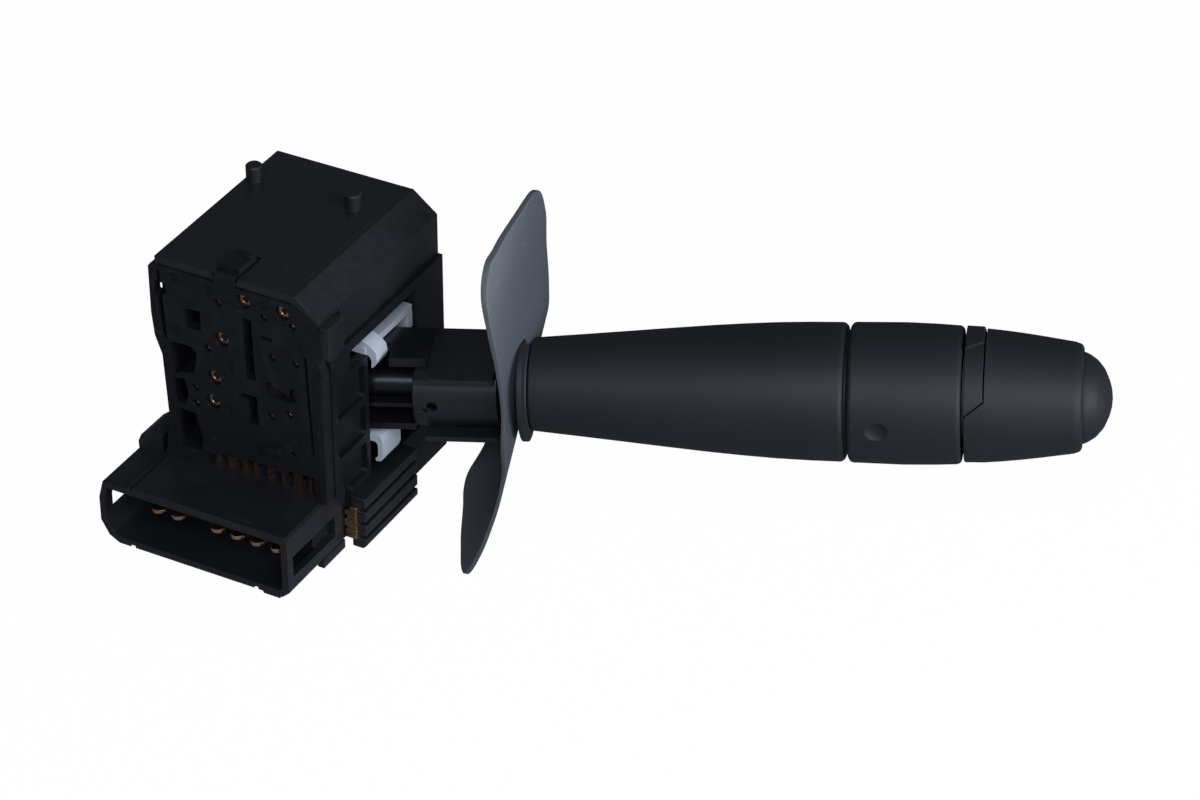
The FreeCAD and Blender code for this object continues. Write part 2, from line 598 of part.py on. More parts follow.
detent = cut("detent_block", box("wall", "turnX - detentReach + 1.5", "16", "24",
                                 "turnZ - 5.5", "turnZ + 5.5"),
             rod("Y", "turnX", "15", "turnZ", "detentReach", "10"))
notch_tools = []
for angle in (-7, 0, 7):
    notch_tools.append(rod("Y", "turnX - detentReach * cos(%d)" % angle, "15",
                           "turnZ + detentReach * sin(%d)" % angle, "0.7", "10"))
on_box(cut("detent_track", detent, fused("detent_notches", notch_tools)))

# Carrier

# Its edges stop short of the walls where there is no window, so that it can swing.
inner_right = "boxWidth - wall - 1.8"
behind = far + " + 0.3"
top_face = "turnZ + 12"
foot_face = "turnZ - 10.6"
carrier_pieces = [
    box("turnX - 13.2", inner_right, behind, "carrierBack", top_face + " - 1.5", top_face),
    box(inner_right + " - 1", "boxWidth - 0.8", "windowNear + 0.5", "windowFar - 0.4",
        top_face + " - 1.5", top_face),
    box("turnX - 13.2", inner_right, behind, "carrierBack", foot_face, foot_face + " + 2"),
    box(inner_right + " - 1", "boxWidth - 0.8", "windowNear + 0.5", "windowFar - 0.4",
        foot_face, foot_face + " + 2"),
    box("turnX - 13.2", inner_right, "carrierBack - 2.2", "carrierBack", foot_face, top_face),
    box(inner_right + " - 1", "boxWidth - 0.8", "carrierBack - 2.8", "windowFar - 0.4",
        top_face + " - 5.2", top_face),
    box("turnX - 13.2", "turnX - 9.4", behind, "carrierBack", foot_face, top_face),
    rod("Y", "turnX", near, "turnZ", "journal", "7"),
    rod("Y", "turnX", "carrierBack - 0.5", "turnZ", "5", "2.4"),
    rod("Y", "turnX", "carrierBack", "turnZ", "trunnion", "8.7"),
    rod("Y", "turnX - 12.4", "3.4", "turnZ", "1.2", "9"),
    rod("Z", "flashX", "flashY", top_face + " - 1", "stub + 2", "2.6"),
    rod("Z", "flashX", "flashY", foot_face + " - 1.2", "stub + 2", "2"),
]
# upper hook: a sloped tongue that leaves the window and turns down into a thin curved tail
hook = body("upper_hook")
shape = drawing(hook, "XZ_Plane", "-(windowNear + 5)")
outline(shape, [("stalkX - 6.4", "turnZ + 14.1"), ("stalkX - 3.4", "turnZ + 14.1"),
                ("stalkX + 0.2", "turnZ + 12.6"), ("stalkX + 1.4", "turnZ + 11.4"),
                ("stalkX + 1.7", "turnZ + 9.6"), ("stalkX + 1.2", "turnZ + 8.4"),
                ("stalkX + 0.6", "turnZ + 7.6"), ("stalkX + 0.3", "turnZ + 7.7"),
                ("stalkX + 0.4", "turnZ + 9.2"), ("stalkX", "turnZ + 10.1"),
                ("stalkX - 1", "turnZ + 10.5"), ("stalkX - 6.4", "turnZ + 10.5")])
pad(hook, shape, "4.2")
# lower hook: a tongue that turns down and curls under like a C
claw = body("lower_hook")
shape = drawing(claw, "XZ_Plane", "-(windowNear + 8.4)")
outline(shape, [("stalkX - 2.4", foot_face + " + 2"), ("stalkX + 0.6", foot_face + " + 2"),
                ("stalkX + 1.6", foot_face + " + 1.4"), ("stalkX + 2", foot_face + " + 0.2"),
                ("stalkX + 2", foot_face + " - 3.2"), ("stalkX + 1.5", foot_face + " - 4.4"),
                ("stalkX + 0.4", foot_face + " - 4.7"), ("stalkX + 0.1", foot_face + " - 4.1"),
                ("stalkX + 0.8", foot_face + " - 3.4"), ("stalkX + 0.8", foot_face + " - 0.6"),
                ("stalkX + 0.3", foot_face), ("stalkX - 2.4", foot_face)])
pad(claw, shape, "7")
carrier_solid = fused("carrier_solid", carrier_pieces + [hook, claw])
carrier_room = fused("carrier_room", [
    rod("Y", "turnX", near + " - 1", "turnZ", "journal - 2", "10"),
    rod("Z", "flashX", "flashY", foot_face + " - 2", "stub", "30"),
    rod("X", "turnX - detentReach + 1.5", "20", "turnZ", "1.5", "detentReach - 11.7"),
])
on_box(cut("carrier", carrier_solid, carrier_room))

pin_high = on_box(rod("Z", "flashX", "flashY", "stalkZ + 6.9", "stub - 0.02", "7.2"))
pin_high.Label = "flash_pin_upper"
pin_low = on_box(rod("Z", "flashX", "flashY", foot_face + " - 1.2", "stub - 0.02", "6.1"))
pin_low.Label = "flash_pin_lower"

tip = ball("turnX - detentReach + 1.5", "20", "turnZ", "1.1")
shank = rod("X", "turnX - detentReach + 1.5", "20", "turnZ", "1.42", "detentReach - 13.7")
on_box(fused("turn_plunger", [tip, shank]))


def coil(label, start, end, radius, wire, turns, place):
    """A wound spring along X: a short-sided path swept by a six-sided wire."""
    steps = 9
    count = int(turns * steps)
    path = doc.addObject("Part::Polygon", label + "_path")
    low = number(start) + wire
    high = number(end) - wire
    path.Nodes = [V(low + (high - low) * k / count, radius * math.cos(2 * math.pi * k / steps),
                    radius * math.sin(2 * math.pi * k / steps)) for k in range(count + 1)]
    path.Close = False
    section = doc.addObject("Part::RegularPolygon", label + "_wire")
    section.Polygon = 6
    section.Circumradius = wire
    section.Placement = FreeCAD.Placement(V(low, radius, 0), FreeCAD.Rotation())
    doc.recompute()
    made = doc.addObject("Part::Sweep", label)
    made.Label = label
    made.Sections = [section]
    made.Spine = (path, ["Edge%d" % (k + 1) for k in range(count)])
    made.Solid = True
    made.Transition = "Right corner"
    made.Placement = place
    parts.append(made)
    return made


coil("turn_spring", "turnX - 12.2", "turnX - 10.2", 1.1, 0.2, 4,
     FreeCAD.Placement(V(-number("pinX"), 20 - number("pinY"), number("turnZ")), FreeCAD.Rotation()))

# Yoke

LYING = FreeCAD.Rotation(V(1, 1, 1), 120)


def sector(start, end, radius, first, sweep):
    """Part of a disc round the stalk's axis: from one angle (0 to the driver, 90 up) by a sweep."""
    made = doc.addObject("Part::Cylinder", "sector")
    bind(made, "Radius", radius)
    bind(made, "Height", "(%s) - (%s)" % (end, start))
    made.Angle = sweep
    made.Placement = FreeCAD.Placement(V(), FreeCAD.Rotation(V(1, 0, 0), first).multiply(LYING))
    bind(made, "Placement.Base.x", start)
    return made


def tilted(angle, x0, x1, y0, y1, z0, z1):
    """A block turned about the stalk's axis."""
    made = doc.addObject("Part::Box", "tilted")
    for size, low, high in (("Length", x0, x1), ("Width", y0, y1), ("Height", z0, z1)):
        bind(made, size, "(%s) - (%s)" % (high, low))
    made.Placement = FreeCAD.Placement(V(), FreeCAD.Rotation(V(1, 0, 0), angle)).multiply(
        FreeCAD.Placement(V(number(x0), number(y0), number(z0)), FreeCAD.Rotation()))
    return made


def upright(x, y, z, radius, height):
    """An upright cylinder given in the box's own place, for a piece of the stalk."""
    made = doc.addObject("Part::Cylinder", "upright")
    bind(made, "Radius", radius)
    bind(made, "Height", height)
    spot = V(number(x) - number("pinX"), number(y) - number("pinY"), number(z))
    made.Placement = stalk_frame.inverse().multiply(FreeCAD.Placement(spot, FreeCAD.Rotation()))
    return made


def squared(x0, x1, y0, y1, z0, z1):
    """A block with its sides along the box's own, for a piece of the stalk."""
    made = doc.addObject("Part::Box", "squared")
    bind(made, "Length", "(%s) - (%s)" % (x1, x0))
    bind(made, "Width", "(%s) - (%s)" % (y1, y0))
    bind(made, "Height", "(%s) - (%s)" % (z1, z0))
    spot = V(number(x0) - number("pinX"), number(y0) - number("pinY"), number(z0))
    made.Placement = stalk_frame.inverse().multiply(FreeCAD.Placement(spot, FreeCAD.Rotation()))
    return made


# Flanges and hinge eyes first, trimmed clear of the carrier's journal and the window's edge.
yoke_flanges = fused("yoke_flanges", [
    box("-14.5", "-3.6", "-5.5", "5.8", "7", "9"),
    box("-3.7", "2.4", "-0.4", "5.8", "7", "9"),
    box("2.3", "9.5", "-5.5", "5.8", "7", "9"),
    box("-14.5", "6.4", "-5.5", "5.8", "-8", "-6.5"),
    box("-14.5", "6.4", "3.9", "5.8", "-8", "9"),
    upright("flashX", "flashY", "stalkZ + 6.6", "stub + 2.8", "2"),
    upright("flashX", "flashY", foot_face + " + 2.6", "stub + 2.8", "2.4"),
])
yoke_flanges.Refine = False
yoke_trim = squared("flashX - 14", "boxWidth + 1.6", "4", "windowNear + 0.35", "turnZ - 14", "turnZ + 14")
trimmed = cut("yoke_trimmed", yoke_flanges, yoke_trim)
trimmed.Refine = False
yoke_pieces = [
    trimmed,
    rod("X", "-13", "0", "0", "core", "53"),
    box("-11", "6.4", "0", "4.2", "-1.1", "1.1"),
    box("-6", "6.6", "-4.5", "-2", "-3.3", "-2.4"),
    box("-6", "-5", "-4.5", "-1", "-7.6", "-2.4"),
    squared("flashX + 2.4", "flashX + 3.8", "3.6", "flashY", "turnZ - 0.8", "turnZ + 1.6"),
]
yoke_room = [
    rod("X", "-20", "0", "0", "tube + 0.08", "70"),
    upright("flashX", "flashY", "stalkZ + 5", "stub + running", "10"),
    upright("flashX", "flashY", foot_face + " - 1", "stub + running", "6.4"),
]
on_stalk(cut("yoke", fused("yoke_solid", yoke_pieces), fused("yoke_room", yoke_room)))

# The lever's return spring lies between the yoke's back and the carrier's rear wall.
coil("flash_spring", "flashY + 8.9", "carrierBack - 2.2", 2.3, 0.25, 4,
     FreeCAD.Placement(V(number("flashX - pinX") + 2.5, -number("pinY"), number("turnZ")),
                       FreeCAD.Rotation(V(0, 0, 1), 90)))

# Bracket

bracket_pieces = [
    box("7.4", "23.4", "-flangeHalf", "flangeHalf", "5.3", "6.6"),
    box("9", "23.4", "-flangeHalf + 0.6", "flangeHalf", "-8.4", "-7.3"),
    box("9", "23.4", "-1", "1", "-7.5", "5.5"),
    box("9", "23.4", "flangeHalf - 1.4", "flangeHalf", "-8.4", "6.6"),
    rod("X", "6.9", "0", "0", "barrel", "17.1"),
    rod("X", "23.9", "0", "0", "core + 1.35", "21"),
]
snap = doc.addObject("Part::Cylinder", "snap_hole")
snap.Radius = 1.25
snap.Height = 4
snap.Placement = FreeCAD.Placement(V(9.2, -2.6, -1.45), FreeCAD.Rotation(V(0, 0, 1), V(0, -0.875, -0.485)))
bracket_room = [
    rod("X", "6", "0", "0", "core + 0.02", "40"),
    snap,
    box("6", "9.2", "-7", "-3.6", "-3.4", "-2.7"),
    box("6", "7.4", "2", "8", "-8", "8"),
]
on_stalk(cut("bracket", fused("bracket_solid", bracket_pieces), fused("bracket_room", bracket_room)))

# Shield

# Its own frame: Z up along the straight lines of the curved sheet, X across, the hollow side at +Y.
along = V(0.203, 0.763, 0.753).normalize()
sideways = V(-0.025, 0.753, -0.763)
hollow_side = along.cross(sideways).normalize()
sideways = hollow_side.cross(along)
shield_turn = FreeCAD.Rotation(sideways, hollow_side, along, "ZXY")
shield_frame = FreeCAD.Placement(V(number("shieldStart"), 0, 0), shield_turn)

sheet_body = body("shield_sheet")
ring = drawing(sheet_body, "XY_Plane", "0")
disc(ring, "0", "shieldRadius", "shieldRadius")
disc(ring, "0", "shieldRadius", "shieldRadius - shieldThick")
pad(sheet_body, ring, "100", both=True)
leaf_body = body("shield_leaf")
leaf = drawing(leaf_body, "XZ_Plane", "2")
LEAF = (
    (-14.9, 35.6), (-15.9, 34.9), (-16.6, 33.3), (-17.4, 30.8), (-19.3, 24.2), (-20, 20.6),
    (-20.5, 18.2), (-19.8, 11.1), (-17, 4.3), (-13, -2.3), (-8.8, -8.6), (-4.5, -15.5),
    (1.9, -20.4), (8.1, -27.9), (11.6, -33.4), (15.8, -38), (17.2, -36.5), (18.2, -33.7),
    (19.2, -30.1), (20.3, -23.8), (20.9, -20.8), (20.9, -17.1), (19.2, -11.6), (17.6, -5),
    (13.9, 1.8), (9.3, 8.9), (3.8, 15.8), (-2.1, 19.2), (-8.7, 26.1), (-12, 32.4),
)
curve = Part.BSplineCurve()
scale = number("shieldRadius") / 27.3
curve.interpolate(Points=[V(x * scale, z * scale, 0) for x, z in LEAF], PeriodicFlag=True)
leaf.addGeometry(curve)
pad(leaf_body, leaf, "24", back=True)
eye = doc.addObject("Part::Cylinder", "shield_eye")
bind(eye, "Radius", "core + 1.4")
eye.Height = 40
eye.Placement = shield_frame.inverse().multiply(
    FreeCAD.Placement(V(number("shieldStart") - 20, 0, 0), LYING))
blank = doc.addObject("Part::MultiCommon", "shield_blank")
blank.Shapes = [sheet_body, leaf_body]
shield = cut("shield", blank, eye)
parts.append(shield)
shield.Placement = stalk_frame.multiply(shield_frame)

# Handle


def stalk_body(label, profile):
    """A turned piece of the stalk, from the corners (distance, radius) of its half section."""
    made = body(label)
    section = drawing(made, "XY_Plane")
    outline(section, profile)
    turned(made, section)
    return made


bed = stalk_body("collar_blank", [("shieldStart - 7", "core + 1.37"), ("shieldStart - 7", "11.5"),
                                  ("shieldStart + 0.5", "11.5"), ("shieldStart + 0.9", "11.1"),
                                  ("handleStart - 0.6", "9.7"), ("handleStart", "9.5"),
                                  ("handleStart", "core + 1.37")])
round_bed = doc.addObject("Part::Cylinder", "shield_round")
bind(round_bed, "Radius", "shieldRadius + 0.02")
round_bed.Height = 100
middle_of_round = shield_frame.multVec(V(0, number("shieldRadius"), 0))
round_bed.Placement = FreeCAD.Placement(
    middle_of_round - shield_turn.multVec(V(0, 0, 50)), shield_turn)
on_stalk(cut("root_collar", bed, round_bed))

on_stalk(stalk_body("handle", [
    ("handleStart", "core + 1.37"), ("handleStart", "8.9"), ("handleStart + 0.3", "9.3"),
    ("handleStart + 2.4", "9.6"), ("handleStart + 16.6", "10.9"), ("handleStart + 34.5", "12.55"),
    ("handleEnd - 13.7", "gripRadius - 0.55"), ("handleEnd - 0.6", "gripRadius - 0.25"),
    ("handleEnd", "gripRadius - 0.8"), ("handleEnd", "gripRadius - 0.3 - shell"),
    ("handleEnd - 5.4", "gripRadius - 0.4 - shell"), ("handleEnd - 5.4", "sleeve"),
    ("handleEnd - 10", "sleeve"), ("handleEnd - 10", "gripRadius - 0.55 - shell"),
    ("handleStart + 34.5", "12.55 - shell"), ("handleStart + 14", "10.7 - shell"),
    ("handleStart + 14", "core + 1.37"), ("handleStart + 11", "core + 1.37"),
    ("handleStart + 11", "10.3 - shell"), ("handleStart + 2.6", "9.6 - shell"),
    ("handleStart + 2.6", "core + 1.37")]))

sleeve_tube = stalk_body("sleeve_tube", [
    ("handleEnd - 10", "sleeveBore"), ("handleEnd - 10", "sleeve"),
    ("bandEnd + 12.4", "sleeve"), ("bandEnd + 12.4", "sleeveBore")])
key_room = fused("key_room", [
    box("ringStart + 9.3", "ringStart + 13.1", "-6.5", "6.5", "4", "9"),
    box("bandEnd + 4.2", "bandEnd + 9", "-6.5", "6.5", "4", "9")])
on_stalk(cut("inner_sleeve", sleeve_tube, key_room))

# middle ring, with its dished mark and its key
fog_shell = stalk_body("fog_shell", [
    ("ringStart", "gripRadius - 0.8"), ("ringStart + 0.6", "gripRadius - 0.15"),
    ("ringStart + 10.6", "gripRadius"), ("ringEnd - 0.6", "gripRadius - 0.4"),
    ("ringEnd", "gripRadius - 0.9"), ("ringEnd", "sleeve + running"),
    ("ringEnd - 1.8", "sleeve + running"), ("ringEnd - 1.8", "gripRadius - 0.4 - shell"),
    ("ringStart + 1.9", "gripRadius - 0.3 - shell"), ("ringStart + 1.9", "sleeve + running"),
    ("ringStart", "sleeve + running")])
fog_key = box("ringStart + 10.1", "ringStart + 12.3", "-1", "1", "3.9", "gripRadius - shell / 2")
dimple = ball("ringStart + 6", "-gripRadius - 2.6", "0", "3.5")
on_stalk(cut("fog_ring", fused("fog_solid", [fog_shell, fog_key]), dimple))

# fixed index band: a full hub, the marked sector outside it, and the raised pointer
band_pieces = [
    sector("ringEnd + 0.3", "bandEnd", "10.5", 0, 360),
    sector("ringEnd + 0.3", "bandEnd", "gripRadius - 0.8", -13, 168),
    sector("ringEnd + 0.3", "bandEnd - 0.2", "gripRadius - 0.3", 66, 20),
]
on_stalk(cut("index_band", fused("band_solid", band_pieces),
             rod("X", "ringEnd - 1", "0", "0", "sleeve", "10")))

# end collar: stepped skirt beside the band, tapered grip, mouth for the button
collar_shell = stalk_body("collar_shell", [
    ("bandEnd + 0.2", "gripRadius - 1.1"), ("bandEnd + 0.5", "gripRadius - 0.9"),
    ("bandEnd + 7.3", "gripRadius - 1.6"), ("bandEnd + 10.5", "gripRadius - 2"),
    ("collarEnd - 1.6", "gripRadius - 3.1"), ("collarEnd - 0.5", "gripRadius - 3.5"),
    ("collarEnd", "gripRadius - 4.2"), ("collarEnd", "buttonRadius + 0.08"),
    ("collarEnd - 4.2", "buttonRadius + 0.08"), ("bandEnd + 9.4", "gripRadius - 2.2 - shell"),
    ("bandEnd + 2.4", "gripRadius - 1.2 - shell"), ("bandEnd + 2.4", "sleeve + running"),
    ("bandEnd + 0.2", "sleeve + running")])
skirt = cut("skirt", sector("ringEnd + 0.4", "bandEnd + 0.3", "gripRadius - 0.95", 157, 126),
            sector("ringEnd - 1", "bandEnd + 1", "10.8", 0, 360))
light_key = tilted(-30, "bandEnd + 5.6", "bandEnd + 7.6", "-1", "1", "3", "gripRadius - 1.6 - shell / 2")
on_stalk(fused("light_collar", [collar_shell, skirt, light_key]))

# end insert that guides the button, seated on the sleeve's end
on_stalk(stalk_body("horn_insert", [
    ("bandEnd + 10.4", "2.5 + running"), ("bandEnd + 10.4", "sleeveBore"),
    ("bandEnd + 12.4", "sleeveBore"), ("bandEnd + 12.4", "sleeve"), ("bandEnd + 14.2", "sleeve"),
    ("bandEnd + 14.2", "5"), ("bandEnd + 11.4", "5"), ("bandEnd + 11.4", "3.2"),
    ("bandEnd + 14.2", "3.2"), ("bandEnd + 14.2", "2.5 + running")]))

button = stalk_body("horn_button", [
    ("bandEnd + 11", "0"), ("bandEnd + 11", "2.5"), ("buttonEnd - 5", "2.5"),
    ("buttonEnd - 5", "7.7"), ("buttonEnd - 8", "7.7"), ("buttonEnd - 8", "buttonRadius"),
    ("buttonEnd - 5.6", "buttonRadius"), ("buttonEnd - 4.7", "buttonRadius - 0.35"),
    ("buttonEnd - 3.1", "buttonRadius - 1.4"), ("buttonEnd - 1.55", "buttonRadius - 3.2"),
    ("buttonEnd - 0.5", "buttonRadius - 5.6"), ("buttonEnd", "0")])
on_stalk(button)
on_stalk(cut("horn_contact", rod("X", "buttonEnd - 5.6", "0", "0", "7.5", "0.6"),
             rod("X", "buttonEnd - 6", "0", "0", "5.3", "2")))
coil("horn_spring", "bandEnd + 13.6", "buttonEnd - 5", 4.1, 0.3, 5, stalk_frame)

# Tube and rod inside the stalk

fog_tube = fused("fog_tube_solid", [
    rod("X", "-19", "0", "0", "tube", "ringStart + 31.7"),
    box("ringStart + 9.7", "ringStart + 12.7", "-2.4", "2.4", "-2.6", "3.9")])
on_stalk(cut("fog_tube", fog_tube, rod("X", "-20", "0", "0", "rod + 0.08", "ringStart + 40")))
light_hub = tilted(-30, "bandEnd + 5.4", "bandEnd + 7.8", "-2.2", "2.2", "-2.2", "3")
on_stalk(fused("light_rod", [rod("X", "-27", "0", "0", "rod", "bandEnd + 35"), light_hub]))

fog_arm = fused("fog_arm", [
    rod("X", "-19", "0", "0", "3.4", "2.2"),
    box("-19", "-17.4", "-crank", "0", "-0.8", "0.8"), ball("-18.3", "-crank", "0", "1.2")])
on_stalk(cut("fog_crank", fog_arm, rod("X", "-20", "0", "0", "tube", "6")))
light_arm = fused("light_arm", [
    rod("X", "-27", "0", "0", "2.8", "3"), box("-26.5", "-24.5", "-crank", "0", "-0.6", "0.6"),
    ball("-25.5", "-crank", "0", "1.2")])
light_arm.Placement = FreeCAD.Placement(V(), FreeCAD.Rotation(V(1, 0, 0), -30))
on_stalk(cut("light_crank", light_arm, rod("X", "-28", "0", "0", "rod", "6")))

# Contact sliders

front = "plateThick + trackThick"


def slider(word, pieces, room, bridges):
    if room:
        on_box(cut(word + "_slider", fused(word + "_block", pieces), fused(word + "_slot", room)))
    else:
        on_box(fused(word + "_slider", pieces))
    on_box(fused(word + "_bridge", bridges))


def strip_of(x0, x1, z0, z1):
    return box(x0, x1, front + " + 0.15", front + " + 0.5", z0, z1)


lift = "turnZ"
slider("turn", [box("turnX - 15.8", "turnX - 8.8", front + " + 0.5", "5",
                    lift + " - 5.6", lift + " + 5.6")],
       [box("turnX - 14.2", "turnX - 10.6", front, "6", lift + " - 1.28", lift + " + 1.28")],
       [strip_of("turnX - 15.4", "turnX - 9.2", lift + " + 2.2", lift + " + 3.6")])
fork = "-31.7 + crank / 2"
slider("light", [box("turnX - 6.4", "turnX - 0.7", front + " + 0.5", "4.6", fork + " - 5", fork + " + 5"),
                 box("turnX - 4.8", "turnX - 1.8", "4", "8.4", fork + " - 3.5", fork + " + 3.5")],
       [box("turnX - 5.1", "turnX - 1.5", "5.2", "11", fork + " - 2.5", fork + " + 2.5")],
       [strip_of("turnX - 6", "turnX - 1.1", fork + " + 2.6", fork + " + 4")])
hold = "-31.3"
slider("fog", [box("turnX + 0.6", "turnX + 6.9", front + " + 0.5", "5", hold + " - 5", hold + " + 5"),
               box("turnX + 2", "turnX + 4.9", "4", "11.8", hold + " - 3.5", hold + " + 3.5")],
       [box("turnX + 1.8", "turnX + 5.2", "5.4", "12.5", hold + " - 2.5", hold + " + 2.5")],
       [strip_of("turnX + 1", "turnX + 6.5", hold + " + 2.6", hold + " + 4")])
slider("flash", [box("turnX + 7.9", "turnX + 13.7", front + " + 0.5", "5.2",
                     lift + " - 5.6", lift + " + 6")],
       [box("flashX + 1.8", "flashX + 4.35", front + " + 0.6", "6", lift + " - 2.8", lift + " + 3.6")],
       [strip_of("turnX + 8.3", "turnX + 10.4", lift + " - 4", lift + " + 4")])

# Checks and export

doc.recompute()
for thing in doc.Objects:
    if "Invalid" in thing.State or "Error" in thing.State:
        raise ValueError("failed: " + thing.Name)
os.makedirs("parts", exist_ok=True)
for piece in parts:
    if piece.Shape.isNull() or not piece.Shape.isValid() or len(piece.Shape.Solids) != 1:
        raise ValueError("bad solid: %s, %d" % (piece.Label, len(piece.Shape.Solids)))
    piece.Shape.exportStep("parts/%s.step" % piece.Label)
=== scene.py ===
import bpy
import json
import math
from mathutils import Matrix, Vector


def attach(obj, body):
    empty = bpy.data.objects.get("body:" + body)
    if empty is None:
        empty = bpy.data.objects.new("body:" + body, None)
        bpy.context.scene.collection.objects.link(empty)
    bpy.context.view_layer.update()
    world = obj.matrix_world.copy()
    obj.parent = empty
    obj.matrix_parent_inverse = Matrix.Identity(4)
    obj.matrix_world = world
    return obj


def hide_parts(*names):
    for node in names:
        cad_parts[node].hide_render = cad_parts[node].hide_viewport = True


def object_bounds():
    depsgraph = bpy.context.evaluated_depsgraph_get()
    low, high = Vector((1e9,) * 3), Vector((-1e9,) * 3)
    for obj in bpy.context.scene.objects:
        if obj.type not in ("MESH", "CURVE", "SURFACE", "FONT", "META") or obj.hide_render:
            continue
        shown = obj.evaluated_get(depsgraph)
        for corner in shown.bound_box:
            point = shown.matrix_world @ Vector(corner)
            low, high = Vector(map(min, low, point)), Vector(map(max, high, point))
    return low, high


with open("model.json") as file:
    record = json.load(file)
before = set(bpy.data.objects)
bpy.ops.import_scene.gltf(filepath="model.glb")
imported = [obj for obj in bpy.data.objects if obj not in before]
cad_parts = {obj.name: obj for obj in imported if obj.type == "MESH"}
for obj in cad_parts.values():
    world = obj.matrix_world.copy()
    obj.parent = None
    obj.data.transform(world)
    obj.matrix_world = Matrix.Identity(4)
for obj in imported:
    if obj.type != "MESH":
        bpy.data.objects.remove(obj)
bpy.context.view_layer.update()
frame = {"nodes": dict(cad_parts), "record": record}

mm = 0.001


def pickOnly(*objs):
    bpy.ops.object.select_all(action="DESELECT")
    for obj in objs:
        obj.select_set(True)
    bpy.context.view_layer.objects.active = objs[0]


def applyAll(obj):
    pickOnly(obj)
    for mod in list(obj.modifiers):
        bpy.ops.object.modifier_apply(modifier=mod.name)


def settle(obj):  # the object goes to the origin and its place into the mesh
    pickOnly(obj)
    bpy.ops.object.transform_apply(location=True, rotation=True, scale=True)


def roundEdges(obj, width, steps=2, sharper=32):
    bevel = obj.modifiers.new("roundedEdge", "BEVEL")
    bevel.width = width * mm
    bevel.segments = steps
    bevel.limit_method = "ANGLE"
    bevel.angle_limit = math.radians(sharper)
    bevel.use_clamp_overlap = True
    applyAll(obj)


def smoothTo(obj, degrees):
    pickOnly(obj)
    bpy.ops.object.shade_smooth_by_angle(angle=math.radians(degrees))


def evenNormals(obj):  # large faces stay flat beside their rounded edges
    even = obj.modifiers.new("evenNormals", "WEIGHTED_NORMAL")
    even.mode = "FACE_AREA"
    even.weight = 100
    even.keep_sharp = True
    applyAll(obj)


def editOn(obj):
    pickOnly(obj)
    bpy.ops.object.mode_set(mode="EDIT")
    bpy.ops.mesh.select_all(action="SELECT")


def editOff():
    bpy.ops.object.mode_set(mode="OBJECT")


def faceOutward(obj):
    editOn(obj)
    bpy.ops.mesh.normals_make_consistent(inside=False)
    editOff()


def carve(piece, tool):  # cuts the tool's shape out of the piece and throws the tool away
    cut = piece.modifiers.new("carve", "BOOLEAN")
    cut.operation = "DIFFERENCE"
    cut.solver = "EXACT"
    cut.object = tool
    applyAll(piece)
    bpy.data.objects.remove(tool, do_unlink=True)


def joined(name, pieces):
    pickOnly(*pieces)
    bpy.ops.object.join()
    pieces[0].name = name
    return pieces[0]


def paint(obj, material):
    obj.data.materials.clear()
    obj.data.materials.append(material)


def handOver(obj, body, slotName, *nodes):  # gives a finished piece its finish and its body
    paint(obj, materials[slotName])
    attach(obj, body)
    if nodes:
        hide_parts(*nodes)


# shader helpers: an item is a socket or a plain value

def newGroup(name, inputs, outputs):
    group = bpy.data.node_groups.new(name, "ShaderNodeTree")
    group.interface.new_socket(name="Vector", in_out="INPUT", socket_type="NodeSocketVector")
    for label, value in inputs:
        made = group.interface.new_socket(name=label, in_out="INPUT", socket_type="NodeSocketFloat")
        made.default_value = value
    for label in outputs:
        group.interface.new_socket(name=label, in_out="OUTPUT", socket_type="NodeSocketFloat")
    return group, group.nodes.new("NodeGroupInput").outputs, group.nodes.new("NodeGroupOutput").inputs


def addNode(tree, kind, settings=None, values=None):
    node = tree.nodes.new(kind)
    for key, value in (settings or {}).items():
        setattr(node, key, value)
    for key, value in (values or {}).items():
        node.inputs[key].default_value = value
    return node


def wire(tree, source, target):
    tree.links.new(source, target)


def sums(tree, what, a, b, clamp=False):  # one arithmetic step
    node = addNode(tree, "ShaderNodeMath", {"operation": what, "use_clamp": clamp})
    for k, item in enumerate((a, b)):
        if isinstance(item, (int, float)):
            node.inputs[k].default_value = item
        else:
            wire(tree, item, node.inputs[k])
    return node.outputs[0]


def mixed(tree, share, a, b):  # a colour between two others
    node = addNode(tree, "ShaderNodeMix", {"data_type": "RGBA"})
    wire(tree, share, node.inputs[0])
    for item, socket in ((a, node.inputs[6]), (b, node.inputs[7])):
        if isinstance(item, tuple):
            socket.default_value = item + (1,)
        else:
            wire(tree, item, socket)
    return node.outputs[2]


def ramped(tree, source, low, high, outLow=0.0, outHigh=1.0):
    node = addNode(tree, "ShaderNodeMapRange", {"interpolation_type": "SMOOTHSTEP"},
                   {"From Min": low, "From Max": high, "To Min": outLow, "To Max": outHigh})
    wire(tree, source, node.inputs["Value"])
    return node.outputs["Result"]


def stretched(tree, vector, scale, turn=(0, 0, 0)):
    node = addNode(tree, "ShaderNodeMapping", None, {"Scale": scale, "Rotation": turn})
    wire(tree, vector, node.inputs["Vector"])
    return node.outputs["Vector"]


def noiseOn(tree, vector, scale, detail, rough=0.5):
    node = addNode(tree, "ShaderNodeTexNoise", None, {"Scale": scale, "Detail": detail, "Roughness": rough})
    wire(tree, vector, node.inputs["Vector"])
    return node


def bumped(tree, height, skin, strength, distance):
    bump = addNode(tree, "ShaderNodeBump", None, {"Strength": strength, "Distance": distance})
    wire(tree, height, bump.inputs["Height"])
    wire(tree, bump.outputs["Normal"], skin.inputs["Normal"])


# groups that several finishes share

